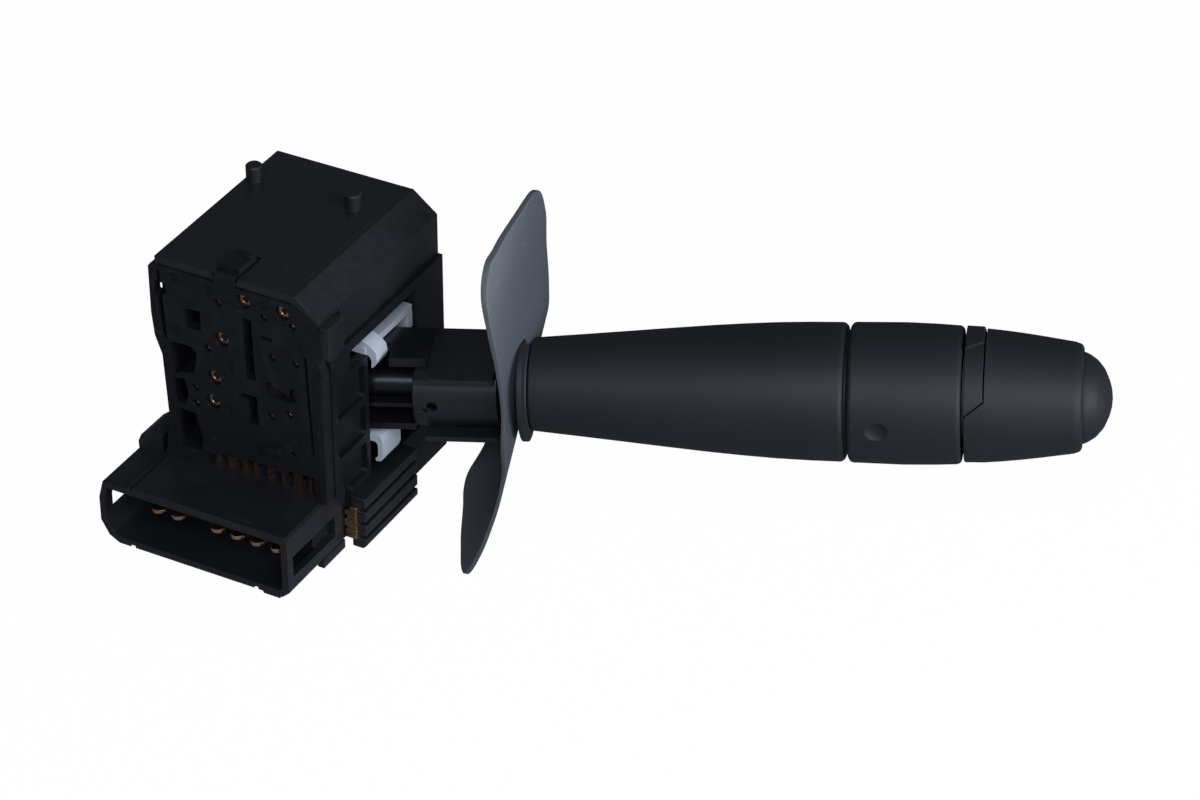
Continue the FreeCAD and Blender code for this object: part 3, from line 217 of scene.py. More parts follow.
def makeGrainGroup():  # fine spark-eroded grain of a moulding, and a slow cloud for its tone
    group, start, end = newGroup("mouldedGrain", (("Fineness", 3000.0),), ("Height", "Cloud"))
    fine = noiseOn(group, start["Vector"], 1.0, 3.0, 0.6)
    wire(group, start["Fineness"], fine.inputs["Scale"])
    cells = addNode(group, "ShaderNodeTexVoronoi", {"feature": "SMOOTH_F1"}, {"Smoothness": 0.6})
    wire(group, start["Vector"], cells.inputs["Vector"])
    wire(group, sums(group, "MULTIPLY", start["Fineness"], 0.55), cells.inputs["Scale"])
    wire(group, sums(group, "ADD", sums(group, "MULTIPLY", fine.outputs["Fac"], 0.6),
                     sums(group, "MULTIPLY", cells.outputs["Distance"], 0.5)), end["Height"])
    wire(group, noiseOn(group, start["Vector"], 26.0, 1.5).outputs["Fac"], end["Cloud"])
    return group


def makeScratchGroup():  # short hairline scratches in three directions
    group, start, end = newGroup("hairScratches", (("Amount", 0.5),), ("Mask",))
    total = None
    for turn, spread in (((0.3, 0.2, 0.5), (26, 950, 950)), ((0.9, -0.4, 2.0), (30, 1200, 1200)),
                         ((-0.5, 0.8, 1.2), (1000, 36, 1000))):
        lines = noiseOn(group, stretched(group, start["Vector"], spread, turn), 1.0, 1.0)
        mask = ramped(group, lines.outputs["Fac"], 0.70, 0.76)
        total = mask if total is None else sums(group, "MAXIMUM", total, mask)
    shown = ramped(group, noiseOn(group, start["Vector"], 90.0, 2.0).outputs["Fac"], 0.5, 0.62)
    marks = sums(group, "MULTIPLY", total, shown)
    wire(group, sums(group, "MULTIPLY", marks, start["Amount"], True), end["Mask"])
    return group


def makeSpeckGroup():  # pale specks of dust and tiny nicks
    group, start, end = newGroup("dustSpecks", (("Spacing", 260.0), ("Amount", 0.5)), ("Mask",))
    dots = addNode(group, "ShaderNodeTexVoronoi", {"feature": "F1"})
    wire(group, start["Vector"], dots.inputs["Vector"])
    wire(group, start["Spacing"], dots.inputs["Scale"])
    near = ramped(group, dots.outputs["Distance"], 0.12, 0.05)
    apart = addNode(group, "ShaderNodeSeparateColor")
    wire(group, dots.outputs["Color"], apart.inputs["Color"])
    rare = ramped(group, apart.outputs["Red"], 0.86, 0.9)
    marks = sums(group, "MULTIPLY", near, rare)
    wire(group, sums(group, "MULTIPLY", marks, start["Amount"], True), end["Mask"])
    return group


def makeEdgeGroup():  # where an edge turns sharply, handling has paled it
    group, start, end = newGroup("rubbedEdges", (("Amount", 0.1),), ("Mask",))
    shape = addNode(group, "ShaderNodeNewGeometry")
    edge = ramped(group, shape.outputs["Pointiness"], 0.52, 0.60)
    breaks = noiseOn(group, start["Vector"], 420.0, 4.0)
    broken = ramped(group, breaks.outputs["Fac"], 0.38, 0.62, 0.25, 1.0)
    marks = sums(group, "MULTIPLY", edge, broken)
    wire(group, sums(group, "MULTIPLY", marks, start["Amount"], True), end["Mask"])
    return group


grainGroup = makeGrainGroup()
scratchGroup = makeScratchGroup()
speckGroup = makeSpeckGroup()
edgeGroup = makeEdgeGroup()
print("shared finishes ready")

# plastics: colour and its paler worn tone, gloss, roughness and how far it wanders, fineness and depth of
# the grain, then how much there is of scratches, specks and rubbed edges
plastics = {
    "cover_black": dict(
        colour=(0.015, 0.0155, 0.017), worn=(0.10, 0.10, 0.11), sheen=0.5, rough=0.37, spread=0.04,
        fine=2600, depth=0.05, scratch=0.25, speck=0.25, edge=0.0625),
    "housing_black": dict(
        colour=(0.0075, 0.0077, 0.009), worn=(0.05, 0.05, 0.06), sheen=0.35, rough=0.42, spread=0.05,
        fine=2600, depth=0.06, scratch=0.25, speck=0.2, edge=0.075),
    "plate_black": dict(
        colour=(0.0068, 0.0076, 0.009), worn=(0.05, 0.055, 0.06), sheen=0.3, rough=0.56, spread=0.05,
        fine=2400, depth=0.08, scratch=0.35, speck=0.5, edge=0.1125),
    "connector_black": dict(
        colour=(0.012, 0.0125, 0.014), worn=(0.06, 0.06, 0.07), sheen=0.5, rough=0.32, spread=0.10,
        fine=2400, depth=0.05, scratch=0.3, speck=0.2, edge=0.1),
    "rail_black": dict(
        colour=(0.012, 0.0125, 0.014), worn=(0.06, 0.06, 0.07), sheen=0.5, rough=0.34, spread=0.08,
        fine=2400, depth=0.05, scratch=0.25, speck=0.15, edge=0.0875),
    "yoke_black": dict(
        colour=(0.008, 0.008, 0.0095), worn=(0.04, 0.04, 0.05), sheen=0.5, rough=0.30, spread=0.08,
        fine=2200, depth=0.05, scratch=0.2, speck=0.15, edge=0.075),
    "bracket_black": dict(
        colour=(0.012, 0.0125, 0.0145), worn=(0.06, 0.06, 0.07), sheen=0.5, rough=0.42, spread=0.05,
        fine=2600, depth=0.07, scratch=0.5, speck=0.25, edge=0.075),
    "shield_grey": dict(
        colour=(0.084, 0.089, 0.096), worn=(0.16, 0.16, 0.16), sheen=0.5, rough=0.42, spread=0.05,
        fine=2200, depth=0.07, scratch=0.5, speck=0.5, edge=0.05),
    "grip_charcoal": dict(
        colour=(0.0155, 0.016, 0.018), worn=(0.05, 0.05, 0.055), sheen=0.42, rough=0.58, spread=0.04,
        fine=3400, depth=0.12, scratch=0.12, speck=0.12, edge=0.05),
    "band_black": dict(
        colour=(0.010, 0.010, 0.012), worn=(0.05, 0.05, 0.055), sheen=0.5, rough=0.34, spread=0.06,
        fine=3000, depth=0.06, scratch=0.2, speck=0.15, edge=0.075),
    "white_pom": dict(
        colour=(0.60, 0.63, 0.66), worn=(0.42, 0.43, 0.44), sheen=0.5, rough=0.34, spread=0.1,
        fine=2200, depth=0.05, scratch=0.3, speck=0.2, edge=0.025),
    "natural_nylon": dict(
        colour=(0.52, 0.50, 0.43), worn=(0.4, 0.38, 0.33), sheen=0.5, rough=0.4, spread=0.1,
        fine=2200, depth=0.06, scratch=0.3, speck=0.2, edge=0.025),
}
metals = {
    "copper": dict(colour=(0.86, 0.50, 0.30), dull=(0.62, 0.33, 0.18), rough=0.28, brush=(2200, 160, 2200)),
    "spring_steel": dict(
        colour=(0.56, 0.56, 0.57), dull=(0.4, 0.4, 0.41), rough=0.3, brush=(400, 2000, 2000)),
}
clouding = {"low": 0.3, "high": 0.7, "darker": 0.92, "lighter": 1.08}
wear = {"rougher": 0.12, "cutIn": 0.6}


def makePlastic(name, look):
    made = bpy.data.materials.new(name)
    made.use_nodes = True
    tree = made.node_tree
    skin = tree.nodes["Principled BSDF"]
    skin.inputs["Specular IOR Level"].default_value = look["sheen"]
    place = addNode(tree, "ShaderNodeTexCoord").outputs["Object"]
    grain = addNode(tree, "ShaderNodeGroup", {"node_tree": grainGroup}, {"Fineness": look["fine"]})
    scratch = addNode(tree, "ShaderNodeGroup", {"node_tree": scratchGroup}, {"Amount": look["scratch"]})
    speck = addNode(tree, "ShaderNodeGroup", {"node_tree": speckGroup}, {"Amount": look["speck"]})
    edge = addNode(tree, "ShaderNodeGroup", {"node_tree": edgeGroup}, {"Amount": look["edge"]})
    for group in (grain, scratch, speck, edge):
        wire(tree, place, group.inputs["Vector"])
    worn = sums(tree, "MAXIMUM", sums(tree, "MAXIMUM", scratch.outputs["Mask"], speck.outputs["Mask"]),
                edge.outputs["Mask"])
    cloud = ramped(tree, grain.outputs["Cloud"], clouding["low"], clouding["high"])
    clouded = mixed(tree, cloud, tuple(c * clouding["darker"] for c in look["colour"]),
                    tuple(c * clouding["lighter"] for c in look["colour"]))
    wire(tree, mixed(tree, worn, clouded, look["worn"]), skin.inputs["Base Color"])
    wander = ramped(tree, grain.outputs["Cloud"], clouding["low"], clouding["high"],
                    look["rough"] - look["spread"] / 2, look["rough"] + look["spread"] / 2)
    wire(tree, sums(tree, "ADD", wander, sums(tree, "MULTIPLY", worn, wear["rougher"]), True),
         skin.inputs["Roughness"])
    height = sums(tree, "SUBTRACT", grain.outputs["Height"],
                  sums(tree, "MULTIPLY", scratch.outputs["Mask"], wear["cutIn"]))
    bumped(tree, height, skin, look["depth"], 0.0002)
    return made


def makeMetal(name, look):
    made = bpy.data.materials.new(name)
    made.use_nodes = True
    tree = made.node_tree
    skin = tree.nodes["Principled BSDF"]
    skin.inputs["Metallic"].default_value = 1.0
    place = addNode(tree, "ShaderNodeTexCoord").outputs["Object"]
    grain = addNode(tree, "ShaderNodeGroup", {"node_tree": grainGroup}, {"Fineness": 1400})
    wire(tree, place, grain.inputs["Vector"])
    brushed = noiseOn(tree, stretched(tree, place, look["brush"]), 1.0, 3.0).outputs["Fac"]
    wire(tree, mixed(tree, ramped(tree, grain.outputs["Cloud"], 0.35, 0.6), look["dull"], look["colour"]),
         skin.inputs["Base Color"])
    wire(tree, ramped(tree, brushed, 0.3, 0.7, look["rough"] - 0.07, look["rough"] + 0.1),
         skin.inputs["Roughness"])
    bumped(tree, brushed, skin, 0.08, 0.0001)
    return made


materials = {name: makePlastic(name, look) for name, look in plastics.items()}
for name, look in metals.items():
    materials[name] = makeMetal(name, look)
slotOf = {row["node"]: row["material_slot"] for row in frame["record"]["subparts"]}
bodyOf = {node: body for body, nodes in frame["record"]["behaviour"]["bodies"].items() for node in nodes}
for name, node in frame["nodes"].items():
    paint(node, materials[slotOf[name]])
print("materials on the frame")

# small pieces of the box, at their place in the cover's millimetres: X across, Y back, Z up
pinFoot = Vector((25, 34.4, 0))


def slabOnBox(name, low, high, rounding=0):
    bpy.ops.object.select_all(action="DESELECT")
    bpy.ops.mesh.primitive_cube_add(size=1, location=((Vector(low) + Vector(high)) / 2 - pinFoot) * mm)
    slab = bpy.context.active_object
    slab.name = name
    slab.scale = (Vector(high) - Vector(low)) * mm
    settle(slab)
    if rounding:
        roundEdges(slab, rounding)
        smoothTo(slab, 35)
        evenNormals(slab)
    return slab


# pieces that keep the frame's shape but get rounded edges: the rounding's width
roundings = {
    "top_cover": 0.4, "lower_housing": 0.3, "terminal_plate": 0.16, "connector_shroud": 0.3,
    "guide_rail": 0.18, "rail_clip": 0.12, "blade_1": 0.12, "blade_2": 0.12, "blade_3": 0.12, "blade_4": 0.12,
    "blade_5": 0.12, "blade_6": 0.12, "carrier": 0.3, "yoke": 0.2, "bracket": 0.22,
    "track_turn": 0.08, "track_light": 0.08, "track_fog": 0.08, "track_flash": 0.08,
}
boxCuts = {  # the latch's tongue has its gap in the plate, and the side catch a recess behind it
    "terminal_plate": ("latch_gap", (13.5, 1.0, 0.02), (18.8, 2.25, 2)),
    "top_cover": ("catch_recess", (37.3, 2.4, -9.8), (39, 7.6, -3.9)),
}
wideRounding = 0.25
for name, width in roundings.items():
    skin = bpy.data.objects.new(name + "_skin", frame["nodes"][name].data.copy())
    bpy.context.collection.objects.link(skin)
    editOn(skin)
    bpy.ops.mesh.remove_doubles(threshold=0.000002)
    bpy.ops.mesh.dissolve_limited(angle_limit=math.radians(1))
    editOff()
    if name in boxCuts:
        carve(skin, slabOnBox(*boxCuts[name]))
    roundEdges(skin, width, 3 if width > wideRounding else 2)
    smoothTo(skin, 35)
    evenNormals(skin)
    handOver(skin, bodyOf[name], slotOf[name], name)
print("box and bracket rounded")

coverTrim = {  # low corner, high corner and rounding
    "latchHead": ((14, 2.3, 0.3), (18.5, 8.7, 1.15), 0.2),
    "latchStep": ((15.6, 6.9, 0.9), (18.2, 8.5, 1.5), 0.2),
    "chamferBead": ((30.55, 3.6, -0.1), (30.85, 43.5, 0.1), 0.08),  # thin beads that the mould left
    "latchBead": ((19.55, 3.2, -0.1), (19.8, 15.5, 0.09), 0.08),
    "sideCatch": ((37.2, 0.3, -12.8), (39.6, 6.0, -5.2), 0.35),
}
latch = joined("cover_latch_head", [slabOnBox(key, *coverTrim[key]) for key in ("latchHead", "latchStep")])
handOver(latch, "box", "plate_black")
beads = joined("cover_beads", [slabOnBox(key, *coverTrim[key]) for key in ("chamferBead", "latchBead")])
handOver(beads, "box", "cover_black")
handOver(slabOnBox("cover_side_catch", *coverTrim["sideCatch"]), "box", "cover_black")

# copper eyelets in the plate: X, Z and radius of the hole that each one sits in
eyelets = ((20.4, -4.4, 1.3), (29.2, -4.4, 1.3), (14.9, -14.9, 1.4), (12.6, -24.6, 1.4), (11.9, -30.5, 1.4))
eyeletShape = {"rimInset": 0.46, "rimThick": 0.24, "rimBack": 1.12,
               "boreInset": 0.56, "boreDeep": 0.5, "boreBack": 1.42, "boreEdge": 0.1}
acrossPlate = (math.radians(90), 0, 0)
rims, bores = [], []
for x, z, radius in eyelets:  # each eyelet's rolled rim
    bpy.ops.object.select_all(action="DESELECT")
    bpy.ops.mesh.primitive_torus_add(
        major_segments=48, minor_segments=14, major_radius=(radius - eyeletShape["rimInset"]) * mm,
        minor_radius=eyeletShape["rimThick"] * mm, rotation=acrossPlate,
        location=(Vector((x, eyeletShape["rimBack"], z)) - pinFoot) * mm)
    rims.append(bpy.context.active_object)
    settle(rims[-1])
    smoothTo(rims[-1], 60)
handOver(joined("eyelet_rims", rims), "box", "copper")
for x, z, radius in eyelets:  # the dark foot of each eyelet's bore
    bpy.ops.object.select_all(action="DESELECT")
    bpy.ops.mesh.primitive_cylinder_add(
        vertices=48, radius=(radius - eyeletShape["boreInset"]) * mm, depth=eyeletShape["boreDeep"] * mm,
        rotation=acrossPlate, location=(Vector((x, eyeletShape["boreBack"], z)) - pinFoot) * mm)
    bores.append(bpy.context.active_object)
    settle(bores[-1])
    roundEdges(bores[-1], eyeletShape["boreEdge"])
handOver(joined("eyelet_bores", bores), "box", "housing_black")
print("small pieces of the box added")

# the line of the stalk: its own Z runs out along the stalk, X to the driver, Y up
stalk = {"foot": (13.4, -11.9, -30.24), "yaw": 20.8, "rise": 3.27}
stalkMatrix = (Matrix.Translation(Vector(stalk["foot"]) * mm)
               @ Matrix.Rotation(math.radians(stalk["yaw"]), 4, "Z")
               @ Matrix.Rotation(math.radians(-stalk["rise"]), 4, "Y")
               @ Matrix(((0, 0, 1, 0), (1, 0, 0, 0), (0, 1, 0, 0), (0, 0, 0, 1))))


def layOnStalk(obj):
    obj.matrix_world = stalkMatrix @ obj.matrix_world
    settle(obj)


def turnOnStalk(name, stations, sides, closed=False):  # a ring drawn out and resized at each station
    thinnest = 0.001
    now = stations[0]
    bpy.ops.object.select_all(action="DESELECT")
    bpy.ops.mesh.primitive_circle_add(vertices=sides, radius=now[1] * mm, location=(0, 0, 0))
    piece = bpy.context.active_object
    piece.name = name
    editOn(piece)
    bpy.ops.transform.translate(value=(0, 0, now[0] * mm))
    for along, radius in stations[1:] + (stations[:1] if closed else []):
        bpy.ops.mesh.extrude_region_move(
            TRANSFORM_OT_translate={"value": (0, 0, (along - now[0]) * mm)})
        size = max(radius, thinnest) / max(now[1], thinnest)
        bpy.ops.transform.resize(value=(size, size, 1), center_override=(0, 0, along * mm))
        now = (along, max(radius, thinnest))
    bpy.ops.mesh.select_all(action="SELECT")
    bpy.ops.mesh.remove_doubles(threshold=0.000003)
    bpy.ops.mesh.normals_make_consistent(inside=False)
    editOff()
    return piece


def softened(points, radius, steps=4):  # the same run of stations with its corners rounded
    made = [points[0]]
    for before, here, after in zip(points, points[1:], points[2:]):
        back = Vector(before) - Vector(here)
        ahead = Vector(after) - Vector(here)
        reach = min(radius, back.length * 0.45, ahead.length * 0.45)
        first = Vector(here) + back.normalized() * reach
        last = Vector(here) + ahead.normalized() * reach
        for k in range(steps + 1):
            t = k / steps
            made.append(tuple(first * (1 - t) ** 2 + Vector(here) * 2 * t * (1 - t) + last * t ** 2))
    return made + [points[-1]]


def spotOnStalk(along, radius, degrees):  # angle 0 faces the driver, 90 is up
    turn = math.radians(degrees)
    return Vector((radius * math.cos(turn), radius * math.sin(turn), along)) * mm


def sliceBetween(piece, first, second, radius):  # keeps what lies past a slanted cut through two points
    a = spotOnStalk(first[0], radius, first[1])
    b = spotOnStalk(second[0], radius, second[1])
    outward = spotOnStalk(0, 1, (first[1] + second[1]) / 2)
    editOn(piece)
    bpy.ops.mesh.bisect(plane_co=a, plane_no=(b - a).cross(outward).normalized(), use_fill=True,
                        clear_inner=True)
    editOff()


# in the outlines below a station is a distance along the stalk and a radius

handleShell = {"corner": 0.6, "sides": 160, "outline": [
    (33, 4.3), (29.9, 4.3), (29.9, 8.9), (30.2, 9.3), (33.3, 9.6), (40, 10.2), (47.5, 10.9), (56.5, 11.75),
    (65.4, 12.55), (72, 13.05), (78.7, 13.45), (85.2, 13.67), (91.6, 13.76), (92.35, 13.2), (92.35, 12.3),
    (92.9, 12.3), (92.9, 8.2), (91.5, 8.2)]}
handle = turnOnStalk("handle_shell", softened(handleShell["outline"], handleShell["corner"]),
                     handleShell["sides"])
layOnStalk(handle)
smoothTo(handle, 40)
handOver(handle, "lever", "grip_charcoal", "handle")

# middle ring: many stations where its dimple is pressed in, as deep as a ball would sink into it
ringGrip = {
    "corner": 0.5, "sides": 400,
    "nearEnd": [(94.2, 8.1), (92.95, 8.1), (92.95, 13.1), (93.6, 13.85), (94.6, 13.86)],
    "farEnd": [(104, 14.0), (110, 13.85), (114.5, 13.62), (115.15, 13.1), (115.15, 8.1), (114.4, 8.1)],
    "from": 94.8, "step": 0.2, "steps": 45, "radius": 13.86, "swell": 0.14, "swellsOver": 8.7}
dimple = {"along": 98.9, "toDriver": -16.6, "radius": 3.5, "reach": -12}
ringMiddle = [(ringGrip["from"] + ringGrip["step"] * k,
               ringGrip["radius"] + ringGrip["swell"] * min(1, ringGrip["step"] * k / ringGrip["swellsOver"]))
              for k in range(ringGrip["steps"])]
ring = turnOnStalk("fog_ring_grip", softened(ringGrip["nearEnd"], ringGrip["corner"]) + ringMiddle
                   + softened(ringGrip["farEnd"], ringGrip["corner"]), ringGrip["sides"])
ball = Vector((dimple["toDriver"], 0, dimple["along"])) * mm
for point in ring.data.vertices:
    away = point.co - ball
    if away.length < dimple["radius"] * mm and point.co.x < dimple["reach"] * mm:
        point.co = ball + away.normalized() * dimple["radius"] * mm
layOnStalk(ring)
smoothTo(ring, 30)
handOver(ring, "fog", "grip_charcoal", "fog_ring")

# index band: a dark hub under a flush sector, with a raised pointer at the top
sector = {"corner": 0.2, "radius": 13.2, "low": ((119.3, 152), (115.6, 165.5)),
          "high": ((115.6, -10), (119.3, -10)),
          "outline": [(115.6, 10.4), (115.6, 13.25), (119.3, 13.1), (119.3, 10.4)]}
mark = {"corner": 0.25, "radius": 13.6, "low": ((119.2, 96), (115.65, 105)),
        "high": ((115.65, 62), (119.2, 62)),
        "outline": [(115.65, 12.9), (115.65, 13.7), (119.2, 13.55), (119.2, 12.9)]}
hubOutline = [(115.5, 8.1), (115.5, 10.5), (119.4, 10.5), (119.4, 8.1)]
bandPieces = []
for name, shape in (("index_band_sector", sector), ("index_pointer", mark)):
    piece = turnOnStalk(name, softened(shape["outline"], shape["corner"], 3), 288, True)
    sliceBetween(piece, *shape["low"], shape["radius"])
    sliceBetween(piece, *shape["high"], shape["radius"])
    bandPieces.append((piece, "grip_charcoal", ()))
bandPieces.append((turnOnStalk("index_hub", hubOutline, 96, True), "band_black", ("index_band",)))
for piece, slotName, nodes in bandPieces:
    roundEdges(piece, 0.12, 2, 50)
    layOnStalk(piece)
    smoothTo(piece, 35)
    evenNormals(piece)
    handOver(piece, "lever", slotName, *nodes)

# end collar: one tapered grip, with a skirt that runs on beside the index band's sector
collarGrip = {"corner": 0.3, "sides": 240, "wall": [(121, 9.2), (119.62, 9.2), (119.62, 13.14)], "outline": [
    (119.62, 13.14), (123.4, 12.8), (126.7, 12.42), (129.9, 12.0), (136.9, 10.95), (138.1, 10.5),
    (138.5, 9.75), (138.5, 9.15), (136.5, 9.15)]}
skirtShape = {"radius": 13.2, "seam": ((115.65, 166.8), (119.6, 152.6)), "end": ((122, 283), (114, 283)),
              "outline": [(115.65, 10.8), (115.65, 13.0), (115.85, 13.2), (119.62, 13.14), (119.62, 10.8)]}
collar = turnOnStalk("light_collar_grip", collarGrip["wall"]
                     + softened(collarGrip["outline"], collarGrip["corner"])[1:], collarGrip["sides"])
skirt = turnOnStalk("light_collar_skirt", skirtShape["outline"], collarGrip["sides"], True)
sliceBetween(skirt, *skirtShape["seam"], skirtShape["radius"])
sliceBetween(skirt, *skirtShape["end"], skirtShape["radius"])
joined("light_collar_grip", [collar, skirt])
layOnStalk(collar)
smoothTo(collar, 35)
handOver(collar, "light", "grip_charcoal", "light_collar")

buttonDome = {"corner": 0.6, "sides": 120, "outline": [
    (136.4, 7.8), (136.4, 9.0), (138.75, 9.0), (139.6, 8.6), (141.1, 7.6), (142.6, 5.8), (143.6, 3.5),
    (144.05, 1.8), (144.2, 0.0)]}
button = turnOnStalk("horn_button_dome", softened(buttonDome["outline"], buttonDome["corner"]),
                     buttonDome["sides"])
layOnStalk(button)
smoothTo(button, 50)
handOver(button, "button", "grip_charcoal", "horn_button")

# the bracket's half-round barrel over the yoke's core, with its snap hole
barrelShell = {"corner": 0.25, "sides": 288, "radius": 8.75, "low": ((6.9, 143), (23.9, 143)),
               "high": ((23.9, 250), (6.9, 250)),
               "outline": [(6.9, 7.5), (6.9, 8.75), (23.9, 8.75), (23.9, 7.5)]}
snapHole = {"deep": 3.2, "middle": 8.2,
            "bores": (("snap_hole", 10.75, 182, 1.15), ("snap_notch", 9.25, 188, 0.6))}
barrel = turnOnStalk("bracket_barrel", softened(barrelShell["outline"], barrelShell["corner"], 3),
                     barrelShell["sides"], True)
sliceBetween(barrel, *barrelShell["low"], barrelShell["radius"])
sliceBetween(barrel, *barrelShell["high"], barrelShell["radius"])
for name, along, degrees, radius in snapHole["bores"]:
    spot = spotOnStalk(along, snapHole["middle"], degrees)
    bpy.ops.object.select_all(action="DESELECT")
    bpy.ops.mesh.primitive_cylinder_add(vertices=64, radius=radius * mm, depth=snapHole["deep"] * mm,
                                        location=spot)
    drill = bpy.context.active_object
    drill.name = name
    drill.rotation_euler = Vector((spot.x, spot.y, 0)).to_track_quat("Z", "Y").to_euler()
    settle(drill)
    carve(barrel, drill)
roundEdges(barrel, 0.12, 2, 50)
layOnStalk(barrel)
smoothTo(barrel, 35)
evenNormals(barrel)
handOver(barrel, "lever", "bracket_black")
print("stalk turned")

# shield: a flat leaf drawn out from its eye ring by ring, given its thickness, then laid on a cylinder
leaf = {"start": 29.1, "radius": 27.3, "thick": 0.8, "inset": 0.3, "edge": 0.3, "eye": 4.6, "rings": 30,
        "sides": 240, "crowding": 0.85, "along": (0.203, 0.763, 0.753), "sideways": (-0.025, 0.753, -0.763)}
leafOutline = (
    (-14.9, 35.6), (-15.9, 34.9), (-16.6, 33.3), (-17.4, 30.8), (-19.3, 24.2), (-20, 20.6),
    (-20.5, 18.2), (-19.8, 11.1), (-17, 4.3), (-13, -2.3), (-8.8, -8.6), (-4.5, -15.5),
    (1.9, -20.4), (8.1, -27.9), (11.6, -33.4), (15.8, -38), (17.2, -36.5), (18.2, -33.7),
    (19.2, -30.1), (20.3, -23.8), (20.9, -20.8), (20.9, -17.1), (19.2, -11.6), (17.6, -5),
    (13.9, 1.8), (9.3, 8.9), (3.8, 15.8), (-2.1, 19.2), (-8.7, 26.1), (-12, 32.4),
)


def curveBetween(corners, steps):  # points from the second corner to the third, on one smooth curve
    p0, p1, p2, p3 = corners
    gaps = [max((b - a).length, 0.01) ** 0.5 for a, b in ((p0, p1), (p1, p2), (p2, p3))]
    t1, t2, t3 = gaps[0], gaps[0] + gaps[1], sum(gaps)
    made = []
    for step in range(steps):
        t = t1 + (t2 - t1) * step / steps
        a1 = p0 * ((t1 - t) / t1) + p1 * (t / t1)
        a2 = p1 * ((t2 - t) / (t2 - t1)) + p2 * ((t - t1) / (t2 - t1))
        a3 = p2 * ((t3 - t) / (t3 - t2)) + p3 * ((t - t2) / (t3 - t2))
        b1 = a1 * ((t2 - t) / t2) + a2 * (t / t2)
        b2 = a2 * ((t3 - t) / (t3 - t1)) + a3 * ((t - t1) / (t3 - t1))
        made.append(b1 * ((t2 - t) / (t2 - t1)) + b2 * ((t - t1) / (t2 - t1)))
    return made


def outlineRound(points, count):  # a smooth closed line through the points, evenly spaced along its length
    fine = []
    for k in range(len(points)):
        fine += curveBetween([Vector(points[(k + d) % len(points)]) for d in (-1, 0, 1, 2)], 24)
    lengths = [(fine[(k + 1) % len(fine)] - fine[k]).length for k in range(len(fine))]
    total, even, walked, k = sum(lengths), [], 0.0, 0
    for n in range(count):
        goal = total * n / count
        while walked + lengths[k] < goal:
            walked += lengths[k]
            k += 1
        even.append(fine[k].lerp(fine[(k + 1) % len(fine)], (goal - walked) / lengths[k]))
    return even


border = outlineRound(leafOutline, leaf["sides"])
bpy.ops.object.select_all(action="DESELECT")
bpy.ops.mesh.primitive_circle_add(vertices=leaf["sides"], radius=mm)
shield = bpy.context.active_object
shield.name = "shield_leaf"
editOn(shield)
for ringStep in range(leaf["rings"]):
    bpy.ops.mesh.extrude_region_move(TRANSFORM_OT_translate={"value": (0, 0, 0)})
editOff()
for k, point in enumerate(shield.data.vertices):
    level = k // leaf["sides"]
    rim = border[round(math.atan2(point.co.y, point.co.x) / math.tau * leaf["sides"]) % leaf["sides"]]
    spot = (rim.normalized() * leaf["eye"]).lerp(rim, (level / leaf["rings"]) ** leaf["crowding"])
    point.co = Vector((spot.x, 0, spot.y)) * mm
faceOutward(shield)
wallOf = shield.modifiers.new("wallOf", "SOLIDIFY")
wallOf.thickness = leaf["thick"] * mm
wallOf.offset = 0
applyAll(shield)
roundEdges(shield, leaf["edge"], 4, 60)
alongLeaf = Vector(leaf["along"]).normalized()
hollowLeaf = alongLeaf.cross(Vector(leaf["sideways"])).normalized()
sidewaysLeaf = hollowLeaf.cross(alongLeaf)
for point in shield.data.vertices:
    x, y, z = point.co.x / mm, point.co.y / mm + leaf["thick"] / 2 + leaf["inset"], point.co.z / mm
    depth = leaf["radius"] - math.sqrt((leaf["radius"] - y) ** 2 - x ** 2)
    spot = sidewaysLeaf * x + hollowLeaf * depth + alongLeaf * z
    point.co = Vector((spot.y, spot.z, spot.x + leaf["start"])) * mm
layOnStalk(shield)
faceOutward(shield)
smoothTo(shield, 40)
handOver(shield, "lever", "shield_grey", "shield")

# the handle's root collar: a neck with a thin flange, hollowed to sit on the shield's round back
rootCollar = {"edge": 0.3, "play": 0.02, "sides": 240, "outline": [
    (26.5, 4.4), (26.5, 7.6), (28.2, 7.6), (28.2, 11.5), (29.2, 11.5), (29.5, 9.5), (29.8, 9.3), (29.8, 4.4)]}
bed = turnOnStalk("root_collar_bed", rootCollar["outline"], rootCollar["sides"], True)
bpy.ops.object.select_all(action="DESELECT")
bpy.ops.mesh.primitive_cylinder_add(vertices=512, radius=(leaf["radius"] + rootCollar["play"]) * mm,
                                    depth=120 * mm)
roundBack = bpy.context.active_object
centre = hollowLeaf * leaf["radius"]
toStalk = Matrix(((0, 1, 0), (0, 0, 1), (1, 0, 0)))
leafTurn = toStalk @ Matrix((sidewaysLeaf, hollowLeaf, alongLeaf)).transposed()
roundBack.matrix_world = (Matrix.Translation(Vector((centre.y, centre.z, centre.x + leaf["start"])) * mm)
                          @ leafTurn.to_4x4())
settle(roundBack)
carve(bed, roundBack)
roundEdges(bed, rootCollar["edge"], 3, 50)
layOnStalk(bed)
smoothTo(bed, 35)
evenNormals(bed)
handOver(bed, "lever", "grip_charcoal", "root_collar")
print("shield and its collar made")

